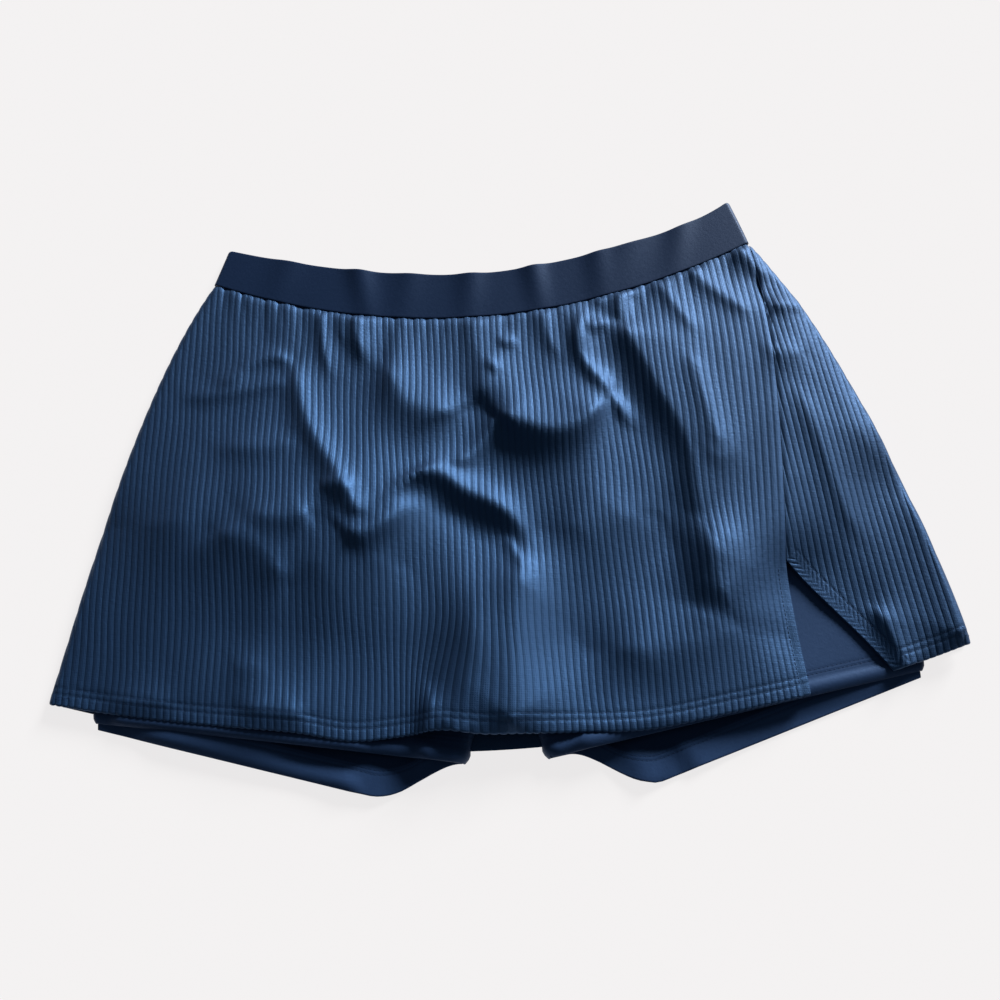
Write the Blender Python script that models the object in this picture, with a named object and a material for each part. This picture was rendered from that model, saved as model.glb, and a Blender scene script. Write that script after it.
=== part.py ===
"""A tennis skort laid flat: a rib-knit skirt with a slit, over knit shorts, on a wide elastic waistband.

Metres, +Z up. The garment lies on the plane Z = 0 with its waist towards +Y and its front upwards.
Layers, from below: skirt back, shorts back, shorts front, skirt front. The waistband is a flattened tube.
Each cut piece is one closed solid, and neighbouring pieces are SEAM_GAP apart.
"""

import bmesh
import bpy
import numpy as np

# ---- Driving dimensions ------------------------------------------------------------------------
SEAM_GAP = 0.0003  # between pieces that meet edge to edge
LAYER_GAP = 0.0005  # between layers that lie on each other
EDGE_CLEAR = 0.0006  # between a lower layer's edge and the upper layer that rolls down past it

WAIST_HALF = 0.2190  # half the flat waist, at the band's upper edge
SEAM_HALF = 0.2310  # half the flat width where the skirt joins the band
HEM_HALF = 0.3465  # half the flat sweep at the hem
SIDE_SLANT = 0.95  # cosine of the side's slant: turns a width along X into one square to the side
HIP_CURVE = 0.0150  # how far the side seam bows out over the hip
HIP_SKEW = 0.6  # moves the bow's widest place up the side
HIP_EASE = 0.03  # rounds the start of that bow
LOW_BOW = 0.0035  # the right side is pulled out this much more, low down
CORNER_GAP = 0.0008  # room for the rolled side under the band's corner
CORNER_GAP_START = 0.2220  # it opens from here outwards
CORNER_TRIM = 0.0012  # the hem's pointed corners are cut off by this much

BAND_TOP_Y = 0.1880  # centre front of the band's upper edge
BAND_TOP_RISE = 0.0430  # how much higher its corners are
BAND_TOP_POWER = 1.7  # its curve is a little flatter at the corners than a parabola
BAND_RIGHT_LIFT = 0.0096  # the right corner is pulled up more
BAND_LIFT_POWER = 8
SEAM_Y = 0.1460  # centre front of the waist seam
SEAM_RISE = 0.0515
HEM_Y = -0.2037  # lowest point of the skirt's front hem
HEM_LOW_X = 0.0500  # which lies to the right of the centre
HEM_RISE = 0.0460  # how much higher the hem is at the side seams
BACK_HEM_Y = -0.2132  # the back hangs lower
BACK_HEM_RISE = 0.0555
BACK_HEM_POWER = 1.9

SKIRT_WALL = 0.0012
RIB_PITCH = 0.0053
RIB_HEIGHT = 0.00045
HEM_ALLOWANCE = 0.022  # depth of the turned hem
HEM_STEP = 1.2  # its thickness fades out over this share of its depth
HEM_EXTRA = 0.0006  # the turned layer's thickness, on the inside
SHORTS_WALL = 0.0010
BAND_WALL = 0.0018
BAND_HEIGHT = 0.0066  # the flattened band, floor to top

PANEL_SEAM_X = 0.2303  # the lengthwise seam's place at the waist
PANEL_SEAM_OUT = 0.060  # it first runs outwards
PANEL_SEAM_IN = 0.0155  # and then comes back in
SLIT_TOP_Y = -0.0852
FLAP_CORNER_X = 0.2930  # lower corner of the side panel's slit edge
RIB_FAN = 0.35  # the side panel's ribs spread by this share towards the hem
RIB_CLOSE = 0.85  # and start this much closer

SHORTS_WAIST_HALF = 0.2260
SHORTS_HEM_HALF = 0.3100
SHORTS_HIP_CURVE = 0.0120
SHORTS_HEM_OUTER_Y = -0.1737  # front leg hem at the side
SHORTS_HEM_SLOPE = 0.168  # it drops this much for each metre inwards
CROTCH_Y = -0.1447
LEG_INNER_X = 0.0300  # inner corner of a leg's hem
LEG_INNER_POWER = 0.9  # the V between the legs is a little rounded
LEG_INNER_BELOW = 1.2  # and runs on this far, for the longer backs
LEG_BACK_COLUMNS = ("droop", "fall_start", "fall_end")  # the back of a leg hangs below its front
LEG_BACKS = {"left": (0.026, 0.74, 1.00), "right": (0.0296, 0.70, 0.95)}
LEG_BACK_OUTER_DROOP = 0.004
LEG_GAPE = 0.0080  # how far a leg opening stands open
LEG_GAPE_ACROSS = (0.05, 0.62)  # it opens between these shares of the way in from the leg's outer edge
LEG_GAPE_DEPTH = 0.085  # and closes over this much above the hem
LEG_SIDE_ROLL = 0.0022  # radius of the front's rolled edge at the side
LEG_INNER_ROLL = 0.0100  # and along the inner leg
FOOT_START = 0.0018  # beyond the skirt's back hem, the shorts' back starts to come down to the floor
FOOT_END = 0.0140  # and lies on it from here

LAYER_2 = SKIRT_WALL + LAYER_GAP  # underside of the shorts' back
LAYER_3 = LAYER_2 + SHORTS_WALL + LAYER_GAP  # underside of the shorts' front
SKIRT_BASE = LAYER_3 + SHORTS_WALL + LAYER_GAP + HEM_EXTRA + SKIRT_WALL / 2
EDGE_Z = 0.0006  # middle of the skirt front's rolled side edge, above the floor
SIDE_ROLL = 0.0060  # radius of that roll
MIDDLE_SAG = 0.35  # between the legs the skirt sinks by this share of their gape
MIDDLE_SAG_HALF = 0.022
WAIST_SETTLE = 0.020  # the folds begin over this depth below the waist seam

# Main folds of the skirt's front. Each has a crest line, in millimetres, from the waist to the hem or
# from left to right, then how far its gentle side (towards the waist or the right) and its steep side
# fall away, its height, and the lengths over which it rises at its two ends.
FOLD_COLUMNS = ("crest", "gentle", "steep", "height", "start", "end")
FOLDS = {
    "left_rise": (((-330, -20), (-220, -24), (-120, -22), (-20, -30)), 120, 85, 9, 90, 60),
    "right_rise": (((-40, -20), (60, 0), (160, -10), (300, -30)), 110, 100, 3.5, 90, 80),
    "centre_pouch": (
        ((2, 56), (12, 49), (28, 42), (50, 37), (74, 42), (90, 50), (106, 64)),
        54, 26, 14, 12, 26,
    ),
    "pouch_corner": (((-36, 4), (-22, 18), (-8, 36), (4, 54), (12, 72)), 14, 14, 5, 14, 22),
    "pouch_left_side": (((-6, 150), (-6, 120), (-3, 98), (-2, 72), (2, 54)), 26, 13, 4, 16, 20),
    "middle_tuck": (
        ((-84, -6), (-67, 2), (-50, 8), (-36, 3), (-22, -9),
         (-4, -17), (12, -24), (22, -35), (29, -52), (34, -84)),
        18, 15, 9.5, 24, 40,
    ),
    "left_pouch": (((-130, -28), (-108, -40), (-90, -34), (-76, -22), (-60, -12)), 14, 16, 8, 16, 14),
    "left_drag_line": (
        ((-158, 122), (-155, 90), (-147, 58), (-137, 38), (-124, 16), (-113, -6), (-101, -32)),
        15, 13, 5.4, 30, 16,
    ),
    "shelf": (((-86, 116), (-77, 90), (-66, 68), (-50, 59), (-28, 56), (-10, 62)), 34, 26, 8, 24, 20),
    "shelf_streak": (((-108, 160), (-106, 138), (-102, 118), (-95, 98)), 15, 12, 4.8, 12, 30),
    "left_dimple": (((-204, -4), (-180, -11), (-158, -18), (-138, -18)), 20, 15, 5.6, 34, 14),
    "left_hollow": (
        ((-226, -30), (-204, -34), (-184, -46), (-170, -62), (-158, -82)),
        22, 22, 3.6, 20, 20,
    ),
    "narrow_crease": (
        ((82, 146), (79, 118), (80, 100), (87, 84), (98, 68), (107, 50), (116, 28)),
        12, 12, 4, 24, 24,
    ),
    "right_drag_line": (
        ((112, 134), (121, 114), (131, 92), (141, 62), (151, 38),
         (159, 10), (160, -24), (162, -64), (170, -104), (188, -140)),
        90, 17, 12.5, 22, 170,
    ),
    "right_hip_crease": (((222, 86), (240, 84), (262, 80)), 18, 20, 4.2, 14, 10),
    "right_shelf": (((160, 10), (182, 0), (206, 4)), 30, 15, 3.4, 14, 18),
    "right_shelf_2": (((158, -44), (172, -62), (192, -80)), 16, 14, 3.6, 16, 18),
    "hem_roll": (((56, -142), (100, -143), (140, -143), (178, -152)), 60, 22, 4, 34, 30),
    "flute_left": (((-8, -50), (-16, -100), (-22, -150), (-36, -206)), 70, 46, 8.5, 60, 6),
    "flute_right": (((8, -20), (24, -50), (22, -90), (24, -140), (28, -212)), 17, 13, 6, 50, 60),
    "side_ridge": (((288, 44), (300, -20), (312, -80), (321, -150)), 13, 13, 3, 50, 30),
}
CREST_ROUND = 0.5  # how round a crest is, as a share of its narrower side
END_FAN = 0.8  # a fold's ends soften away from its crest
LINE_POINTS = 40

# Crests of the shallow waves in the band's front: centre, half width and height.
WAVE_COLUMNS = ("x", "half", "height")
BAND_WAVES = {
    "far_left": (-0.165, 0.016, 0.0012),
    "left": (-0.103, 0.014, 0.0014),
    "middle": (-0.004, 0.017, 0.0016),
    "right": (0.050, 0.013, 0.0014),
    "far_right": (0.120, 0.018, 0.0016),
}
WAVE_FADE = 0.045  # the skirt takes up the band's waves over this depth


# ---- Outlines, as functions of the plan position -----------------------------------------------
def smooth_step(low, high, value):
    share = np.clip((value - low) / (high - low), 0, 1)
    return share * share * (3 - 2 * share)


def band_top_y(x):
    lift = BAND_RIGHT_LIFT * np.maximum(x / WAIST_HALF, 0) ** BAND_LIFT_POWER
    return BAND_TOP_Y + BAND_TOP_RISE * np.abs(x / WAIST_HALF) ** BAND_TOP_POWER + lift


def seam_y(x):
    return SEAM_Y + SEAM_RISE * (x / SEAM_HALF) ** 2


def hem_y(x):
    away = x - HEM_LOW_X
    return HEM_Y + HEM_RISE * (away / (HEM_HALF + HEM_LOW_X * np.where(away > 0, -1, 1))) ** 2


def back_hem_y(x):
    return BACK_HEM_Y + BACK_HEM_RISE * np.abs(x / HEM_HALF) ** BACK_HEM_POWER


SIDE_TOP_Y = float(seam_y(SEAM_HALF))
SIDE_FOOT_Y = float(hem_y(HEM_HALF))


def down_side(y):
    """0 at the waist seam to 1 at the hem, along the side."""
    return np.clip((SIDE_TOP_Y - y) / (SIDE_TOP_Y - SIDE_FOOT_Y), 0, 1)


def hip_bow(t):
    """0 at both ends of the side and 1 at a third of the way down."""
    start = HIP_EASE**HIP_SKEW
    end = (1 + HIP_EASE) ** HIP_SKEW
    return np.sin(np.pi * ((t + HIP_EASE) ** HIP_SKEW - start) / (end - start))


def side_x(y, right=False):
    """Distance of the skirt's side from the centre line."""
    t = down_side(y)
    pulled = LOW_BOW * np.sin(np.pi * t**2) * right
    return SEAM_HALF + (HEM_HALF - SEAM_HALF) * t + HIP_CURVE * hip_bow(t) + pulled


def shorts_side_x(y):
    """Half the shorts' flat width."""
    t = down_side(y)
    flare = (SHORTS_HEM_HALF - SHORTS_WAIST_HALF) * t
    return SHORTS_WAIST_HALF + flare + SHORTS_HIP_CURVE * hip_bow(t)


def panel_seam_x(y):
    """The lengthwise seam between the front and side panels, and below it the front's slit edge."""
    t = (SIDE_TOP_Y - y) / (SIDE_TOP_Y - HEM_Y)
    return PANEL_SEAM_X + PANEL_SEAM_OUT * t * (1 - t) ** 2 - PANEL_SEAM_IN * t


def leg_inner_x(y):
    """Inner edge of a leg: the centre line above the crotch, and an open V below it."""
    depth = CROTCH_Y - front_leg_hem_y(LEG_INNER_X)
    below = np.clip((CROTCH_Y - y) / depth, 0, LEG_INNER_BELOW)
    return SEAM_GAP / 2 + LEG_INNER_X * below**LEG_INNER_POWER


def front_leg_hem_y(x):
    return SHORTS_HEM_OUTER_Y - SHORTS_HEM_SLOPE * (SHORTS_HEM_HALF - np.abs(x))


def across_leg(x):
    """0 at the leg's outer edge to 1 at its inner edge."""
    return np.clip((SHORTS_HEM_HALF - np.abs(x)) / (SHORTS_HEM_HALF - LEG_INNER_X), 0, 1)


def back_leg_hem_y(x, side):
    """The back's hem: it droops more and more inwards, and comes up to the front's at the inner edge."""
    row = dict(zip(LEG_BACK_COLUMNS, LEG_BACKS[side]))
    share = across_leg(x)
    droop = LEG_BACK_OUTER_DROOP + row["droop"] * share / row["fall_start"]
    return front_leg_hem_y(x) - droop * (1 - smooth_step(row["fall_start"], row["fall_end"], share))


# ---- Heights above the floor -------------------------------------------------------------------
def round_over(distance, radius):
    """0 at an edge to 1 a radius inside it, along a quarter circle."""
    return np.sqrt(1 - (1 - np.clip(distance / radius, 0, 1)) ** 2)


def smooth_line(points):
    """A curve through a fold's few points, in metres, as LINE_POINTS points."""
    points = 0.001 * np.array(points, float)
    ends = np.vstack([2 * points[0] - points[1], points, 2 * points[-1] - points[-2]])
    t = np.linspace(0, len(points) - 1, LINE_POINTS)
    i = np.minimum(t.astype(int), len(points) - 2)
    f = (t - i)[:, None]
    a, b, c, d = ends[i], ends[i + 1], ends[i + 2], ends[i + 3]
    return b + 0.5 * f * (c - a + f * (2 * a - 5 * b + 4 * c - d + f * (3 * b - a - 3 * c + d)))


def fold_shape(x, y, fold):
    """One fold's height. Its crest line is a curve above or below the straight line between its ends."""
    line = smooth_line(fold["crest"])
    gentle, steep, start, end = (0.001 * fold[name] for name in ("gentle", "steep", "start", "end"))
    length = np.hypot(*(line[-1] - line[0]))
    way = (line[-1] - line[0]) / length
    line_along = (line - line[0]) @ way
    line_aside = (line - line[0]) @ (-way[1], way[0])
    along = (x - line[0, 0]) * way[0] + (y - line[0, 1]) * way[1]
    aside = (y - line[0, 1]) * way[0] - (x - line[0, 0]) * way[1]
    across = aside - np.interp(along, line_along, line_aside)
    crest = CREST_ROUND * min(gentle, steep)
    fallen = (np.hypot(across, crest) - crest) / np.where(across > 0, gentle, steep)
    fan = END_FAN * np.abs(across)
    ends = smooth_step(-fan, start + fan, along) * smooth_step(-fan, end + fan, length - along)
    return 0.001 * fold["height"] * ends * np.exp(-fallen * (1 + 0.5 * fallen))


def fold_height(x, y):
    """The sum of the main folds."""
    return sum(fold_shape(x, y, dict(zip(FOLD_COLUMNS, row))) for row in FOLDS.values())


def band_wave(x):
    total = np.zeros_like(x)
    for row in BAND_WAVES.values():
        wave = dict(zip(WAVE_COLUMNS, row))
        total = total + wave["height"] * np.exp(-(((x - wave["x"]) / wave["half"]) ** 2))
    return total


def leg_opening(x, y):
    """How far a leg's front stands off its back: open at the hem, closed at the side and higher up."""
    open_across = smooth_step(*LEG_GAPE_ACROSS, across_leg(x))
    open_along = 1 - smooth_step(0, LEG_GAPE_DEPTH, y - front_leg_hem_y(x))
    return LEG_GAPE * open_across * open_along


def skirt_front_height(x, y):
    """Middle of the skirt front's wall."""
    below_waist = seam_y(x) - y
    top = SKIRT_BASE + leg_opening(x, y) * (1 - MIDDLE_SAG * np.exp(-((x / MIDDLE_SAG_HALF) ** 2)))
    top = top + fold_height(x, y) * smooth_step(0, WAIST_SETTLE, below_waist)
    top = top + band_wave(x) * (1 - smooth_step(0, WAVE_FADE, below_waist))
    inside = (side_x(y, x > 0) - np.abs(x)) * SIDE_SLANT
    return EDGE_Z + (top - EDGE_Z) * round_over(inside, SIDE_ROLL)


def floor_height(x, y):
    """Underside of the shorts' back: on the skirt's back, and down on the floor beyond its hem."""
    beyond = back_hem_y(x) - y
    return LAYER_2 * (1 - smooth_step(FOOT_START, FOOT_END, beyond))


# ---- Walls -------------------------------------------------------------------------------------
def add_object(name, mesh, colour, roughness):
    obj = bpy.data.objects.new(name, mesh)
    bpy.context.scene.collection.objects.link(obj)
    material = bpy.data.materials.new(name)
    material.use_nodes = True
    shader = material.node_tree.nodes["Principled BSDF"]
    shader.inputs["Base Color"].default_value = (*colour, 1)
    shader.inputs["Roughness"].default_value = roughness
    mesh.materials.append(material)
    mesh.shade_smooth()
    mesh.set_sharp_from_angle(angle=np.radians(50))
    return obj


def surface(points, closed=False):
    """A mesh through a grid of points, columns by rows. A closed one joins its last column to its first."""
    columns, rows = points.shape[:2]
    bm = bmesh.new()
    grid = [[bm.verts.new(points[i, j]) for j in range(rows)] for i in range(columns)]
    for i in range(columns if closed else columns - 1):
        for j in range(rows - 1):
            a, b = grid[i], grid[(i + 1) % columns]
            bm.faces.new((a[j], a[j + 1], b[j + 1], b[j]))
    mesh = bpy.data.meshes.new("surface")
    bm.to_mesh(mesh)
    bm.free()
    return mesh


def plain_wall(name, points, thickness, offset, look, closed=False):
    """A wall of one thickness, thickened from a grid by Solidify: offset 1 adds it outside, -1 inside."""
    obj = add_object(name, surface(points, closed), *look)
    solidify = obj.modifiers.new("wall", "SOLIDIFY")
    solidify.thickness = thickness
    solidify.offset = offset
    solidify.use_even_offset = False
    return obj


def grid_normals(points):
    """Upward unit normals of a grid of points."""
    across = np.gradient(points, axis=0)
    along = np.gradient(points, axis=1)
    normal = np.cross(along, across)
    return normal / np.linalg.norm(normal, axis=2, keepdims=True)


def fill_rim(bm, outer, inner, step):
    """Faces between an outer edge with every column and an inner edge with every step-th one."""
    last = len(outer) - 1
    for k in range(len(inner) - 1):
        start = k * step
        end = min(start + step, last)
        middle = (start + end) // 2
        for i in range(start, middle):
            bm.faces.new((inner[k], outer[i], outer[i + 1]))
        bm.faces.new((inner[k], outer[middle], inner[k + 1]))
        for i in range(middle, end):
            bm.faces.new((inner[k + 1], outer[i], outer[i + 1]))


def ribbed_wall(name, middle, inner_extra, look, step=3):
    """A wall whose outer points carry the ribs, a crest at every other column, over a plain inside.

    The inside has every step-th column, and inner_extra thickens it where the hem is turned."""
    columns, rows = middle.shape[:2]
    normal = grid_normals(middle)
    rib = np.where(np.arange(columns) % 2 == 1, RIB_HEIGHT, 0.0)[:, None, None]
    outer_points = middle + normal * (SKIRT_WALL / 2 + rib)
    inner_points = middle - normal * (SKIRT_WALL / 2 + inner_extra[:, :, None])
    kept = sorted({*range(0, columns, step), columns - 1})
    bm = bmesh.new()
    outer = [[bm.verts.new(p) for p in column] for column in outer_points]
    inner = [[bm.verts.new(p) for p in inner_points[i]] for i in kept]
    for i in range(columns - 1):
        for j in range(rows - 1):
            a, b = outer[i], outer[i + 1]
            bm.faces.new((a[j], a[j + 1], b[j + 1], b[j]))
    for i in range(len(kept) - 1):
        for j in range(rows - 1):
            a, b = inner[i], inner[i + 1]
            bm.faces.new((a[j], b[j], b[j + 1], a[j + 1]))
    for j in (0, rows - 1):
        fill_rim(bm, [c[j] for c in outer], [c[j] for c in inner], step)
    for outside, inside in ((outer[0], inner[0]), (outer[-1], inner[-1])):
        for j in range(rows - 1):
            bm.faces.new((outside[j], outside[j + 1], inside[j + 1], inside[j]))
    bmesh.ops.recalc_face_normals(bm, faces=bm.faces)
    mesh = bpy.data.meshes.new(name)
    bm.to_mesh(mesh)
    bm.free()
    return add_object(name, mesh, *look)


def row_level(y):
    """Height up the skirt, stretched over the folds, so that even steps of it crowd there."""
    return y + FOLD_ZONE_STRETCH * np.tanh((y - FOLD_ZONE_Y) / FOLD_ZONE_HALF)


def row_heights(top, foot):
    """Y of a column's rows: fixed offsets from either end, and even steps of row_level between."""
    squeeze = min(1.0, (top - foot) / (HEAD[-1] + TAIL[-1]) / 2)  # short columns have closer ends
    head = top - np.array(HEAD) * squeeze
    tail = foot + np.array(TAIL)[::-1] * squeeze
    table = np.linspace(tail[0], head[-1], EDGE_SAMPLES)
    levels = np.linspace(row_level(head[-1]), row_level(tail[0]), BODY_STEPS + 1)[1:-1]
    between = np.interp(levels, row_level(table), table)
    return np.concatenate([head, between, tail])


# ---- The skirt's ribbed front: columns follow the ribs, rows run down to the hem ---------------
HEAD = (0.0, 0.0026, 0.0095, 0.0195)  # rows that follow the side roll and the waist seam
TAIL = (0.0, HEM_ALLOWANCE)
BODY_STEPS = 12
FOLD_ZONE_Y = 0.033
FOLD_ZONE_HALF = 0.090
FOLD_ZONE_STRETCH = 0.100
SETTLE_ROUNDS = 6  # X depends on Y where a column leans, and a column's ends depend on X
FOLLOW_WIDTH = 0.070  # the front panel's last columns bend to follow the lengthwise seam
EDGE_SAMPLES = 200  # along a panel's boundary, to find where a column meets it
NAVY_RIB = ((0.020, 0.055, 0.130), 0.62)
NAVY_SMOOTH = ((0.014, 0.040, 0.105), 0.50)
NAVY_BAND = ((0.012, 0.028, 0.066), 0.66)


def hem_thickening(distance_to_hem):
    """Extra wall on the inside over the turned hem."""
    return HEM_EXTRA * (1 - smooth_step(1, HEM_STEP, distance_to_hem / HEM_ALLOWANCE))


def waist_edge_y(x):
    """The skirt's upper edge, just below the band."""
    return seam_y(x) - SEAM_GAP - CORNER_GAP * smooth_step(CORNER_GAP_START, SEAM_HALF, np.abs(x))


def ribbed_columns(count, column_x, edge_y, foot_y):
    """Middle points and hem thickening of columns 0 to count.

    column_x gives column k's X at a height, and edge_y and foot_y give its ends at that X."""
    points = []
    extra = []
    for k in range(count + 1):
        top, foot = SIDE_FOOT_Y, HEM_Y
        for _ in range(SETTLE_ROUNDS):
            top = edge_y(k, column_x(k, top))
            foot = foot_y(k, column_x(k, foot))
        y = row_heights(top, foot)
        x = column_x(k, y)
        points.append(np.stack([x, y, skirt_front_height(x, y)], axis=1))
        extra.append(hem_thickening(y - foot))
    return np.array(points), np.array(extra)


def skirt_front():
    """The front panel. Its ribs lie along Y, so the slanting left side cuts across them."""
    nominal_end = float(panel_seam_x(0.0))
    width = HEM_HALF - CORNER_TRIM + nominal_end
    count = 2 * round(width / RIB_PITCH)
    side_ys = np.linspace(SIDE_TOP_Y - CORNER_GAP, SIDE_FOOT_Y, EDGE_SAMPLES)

    def column_x(k, y):
        x = nominal_end - (count - k) * width / count
        follow = smooth_step(nominal_end - FOLLOW_WIDTH, nominal_end, x)
        return x + (panel_seam_x(y) - SEAM_GAP / 2 - nominal_end) * follow

    def edge_y(k, x):
        if x > -SEAM_HALF:
            return float(waist_edge_y(x))
        return float(np.interp(-x, side_x(side_ys), side_ys))

    def foot_y(k, x):
        return float(hem_y(x))

    return ribbed_wall("skirt_front_panel", *ribbed_columns(count, column_x, edge_y, foot_y), NAVY_RIB)


def skirt_side():
    """The flared side panel. Its ribs fan out from the lengthwise seam down to the slit and the hem."""
    width = HEM_HALF - CORNER_TRIM - float(panel_seam_x(SIDE_FOOT_Y))
    count = 2 * round(width / (1 + RIB_FAN) / (RIB_PITCH * RIB_CLOSE))

    def pitch(y):
        return width / count * (1 + RIB_FAN * down_side(y)) / (1 + RIB_FAN)

    def column_x(k, y):
        return panel_seam_x(y) + SEAM_GAP / 2 + k * pitch(y)

    def column_at(x, y):
        return (x - panel_seam_x(y) - SEAM_GAP / 2) / pitch(y)

    side_ys = np.linspace(SIDE_TOP_Y - CORNER_GAP, SIDE_FOOT_Y, EDGE_SAMPLES)
    side_k = column_at(side_x(side_ys, right=True), side_ys)
    slit_x = np.linspace(panel_seam_x(SLIT_TOP_Y) + SEAM_GAP / 2, FLAP_CORNER_X, EDGE_SAMPLES)
    slit_y = np.linspace(SLIT_TOP_Y, hem_y(FLAP_CORNER_X), EDGE_SAMPLES)
    hem_xs = np.linspace(FLAP_CORNER_X, HEM_HALF, EDGE_SAMPLES)[1:]
    lower_y = np.concatenate([slit_y, hem_y(hem_xs)])
    lower_k = column_at(np.concatenate([slit_x, hem_xs]), lower_y)

    def edge_y(k, x):
        return float(np.interp(k, side_k, side_ys))

    def foot_y(k, x):
        return float(np.interp(k, lower_k, lower_y))

    return ribbed_wall("skirt_side_panel", *ribbed_columns(count, column_x, edge_y, foot_y), NAVY_RIB)


# ---- The flat layers beneath -------------------------------------------------------------------
def panel_grid(inner, outer, top, foot, across_shares, down_shares):
    """Plan positions of a panel between two sides and two ends, each given as a function."""
    down = down_shares[None, :] * np.ones((len(across_shares), 1))
    y = top(LEG_INNER_X) + (foot(LEG_INNER_X) - top(LEG_INNER_X)) * down
    for _ in range(SETTLE_ROUNDS):  # the sides depend on y and the ends on x
        x = inner(y) + (outer(y) - inner(y)) * across_shares[:, None]
        y = top(x) + (foot(x) - top(x)) * down
    return x, y


BACK_COLUMNS = 15
BACK_ROWS = 8


def skirt_back_top_y(x):
    return seam_y(x) - 1.5 * SEAM_GAP


def skirt_back():
    """The back panel, flat on the floor inside the front's rolled sides."""
    inset = SKIRT_WALL / 2 + 1.5 * EDGE_CLEAR

    def left(y):
        return inset - side_x(y)

    def right(y):
        return side_x(y, right=True) - inset

    across = np.linspace(0, 1, BACK_COLUMNS)
    down = np.linspace(0, 1, BACK_ROWS)
    x, y = panel_grid(left, right, skirt_back_top_y, back_hem_y, across, down)
    points = np.stack([x, y, np.zeros_like(x)], axis=2)
    return plain_wall("skirt_back_panel", points, SKIRT_WALL, 1, NAVY_RIB)


EDGE_OFFSETS = np.array([0.0, 0.0006, 0.0022, 0.0050, 0.0100])  # columns over a leg's rounded edge
LEG_COLUMNS = 11
# Rows down to the skirt's back hem, closer at the crotch, and rows of the foot beyond it.
LEG_ROW_SHARES = np.array([0, 0.16, 0.32, 0.48, 0.62, 0.72, 0.78, 0.82, 0.87, 0.93, 1])
LEG_FOOT_SHARES = np.linspace(0, 1, 5)
LEG_FOOT_MIN = 0.004  # the foot's least length
# Zones of the inner edges, from above the crotch to below it.
FRONT_PARTS = (-0.020, 0.012)  # the fronts draw apart by a wall
BACK_PARTS = (-0.012, 0.010)  # the backs draw in under them
INNER_EDGE_ROLLS = (0.002, 0.028)  # the fronts' inner edge rolls down


def leg_shares(width):
    """Column positions across a leg, closer together at its two edges."""
    inner = EDGE_OFFSETS / width
    outer = 1 - EDGE_OFFSETS[2::-1] / width
    return np.concatenate([inner, np.linspace(inner[-1], outer[0], LEG_COLUMNS)[1:-1], outer])


def shorts_top_y(x):
    return seam_y(x) - 2 * SEAM_GAP


def leg_grid(inner, outer, foot):
    """Plan positions of a leg: rows down to the skirt's back hem, then closer ones to the leg's own hem."""

    def knee(x):
        return np.maximum(back_hem_y(x) - FOOT_START, foot(x) + LEG_FOOT_MIN)

    shares = leg_shares(SHORTS_HEM_HALF)
    upper_x, upper_y = panel_grid(inner, outer, shorts_top_y, knee, shares, LEG_ROW_SHARES)
    lower_x, lower_y = panel_grid(inner, outer, knee, foot, shares, LEG_FOOT_SHARES)
    x = np.concatenate([upper_x, lower_x[:, 1:]], axis=1)
    y = np.concatenate([upper_y, lower_y[:, 1:]], axis=1)
    return x, y


def add_leg(side, grid, height, name):
    """A leg's wall from its right-hand grid, mirrored for the left leg."""
    x, y = grid
    points = np.stack([x, y, height], axis=2)
    if side == "left":
        points = (points * (-1, 1, 1))[::-1]
    return plain_wall(name, points, SHORTS_WALL, 1, NAVY_SMOOTH)


def shorts_front_leg(side):
    """Half of the shorts' front. It rolls down to the back at its side and along the inner leg."""
    wall = SHORTS_WALL + LAYER_GAP

    def inner(y):
        return leg_inner_x(y) + SHORTS_WALL * smooth_step(*FRONT_PARTS, CROTCH_Y - y)

    x, y = leg_grid(inner, lambda y: shorts_side_x(y) - SHORTS_WALL, front_leg_hem_y)
    under = floor_height(x, y)
    above = wall + leg_opening(x, y)
    outer_edge = round_over(shorts_side_x(y) - SHORTS_WALL - x, LEG_SIDE_ROLL)
    parted = smooth_step(*INNER_EDGE_ROLLS, CROTCH_Y - y)
    inner_edge = round_over(x - inner(y), LEG_INNER_ROLL)
    z = under + above * outer_edge * (1 - parted * (1 - inner_edge))
    return add_leg(side, (x, y), z, f"shorts_front_{side}")


def shorts_back_leg(side):
    """Half of the shorts' back, lying on the skirt's back and on the floor beyond it."""
    inset = 2 * SHORTS_WALL + EDGE_CLEAR

    def inner(y):
        parted = smooth_step(*BACK_PARTS, CROTCH_Y - y)
        return leg_inner_x(y) + (SHORTS_WALL + 2 * EDGE_CLEAR) * parted

    def outer(y):
        return shorts_side_x(y) - inset

    def hem(x):
        return back_leg_hem_y(x, side)

    x, y = leg_grid(inner, outer, hem)
    return add_leg(side, (x, y), floor_height(x, y), f"shorts_back_{side}")


# ---- The waistband -----------------------------------------------------------------------------
BAND_FRONT_COLUMNS = 39
BAND_BACK_COLUMNS = 19
BAND_ROWS = 4
BAND_END_TURNS = np.radians((72, 36, 0, -36, -72))  # round each end, from front to back


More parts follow.
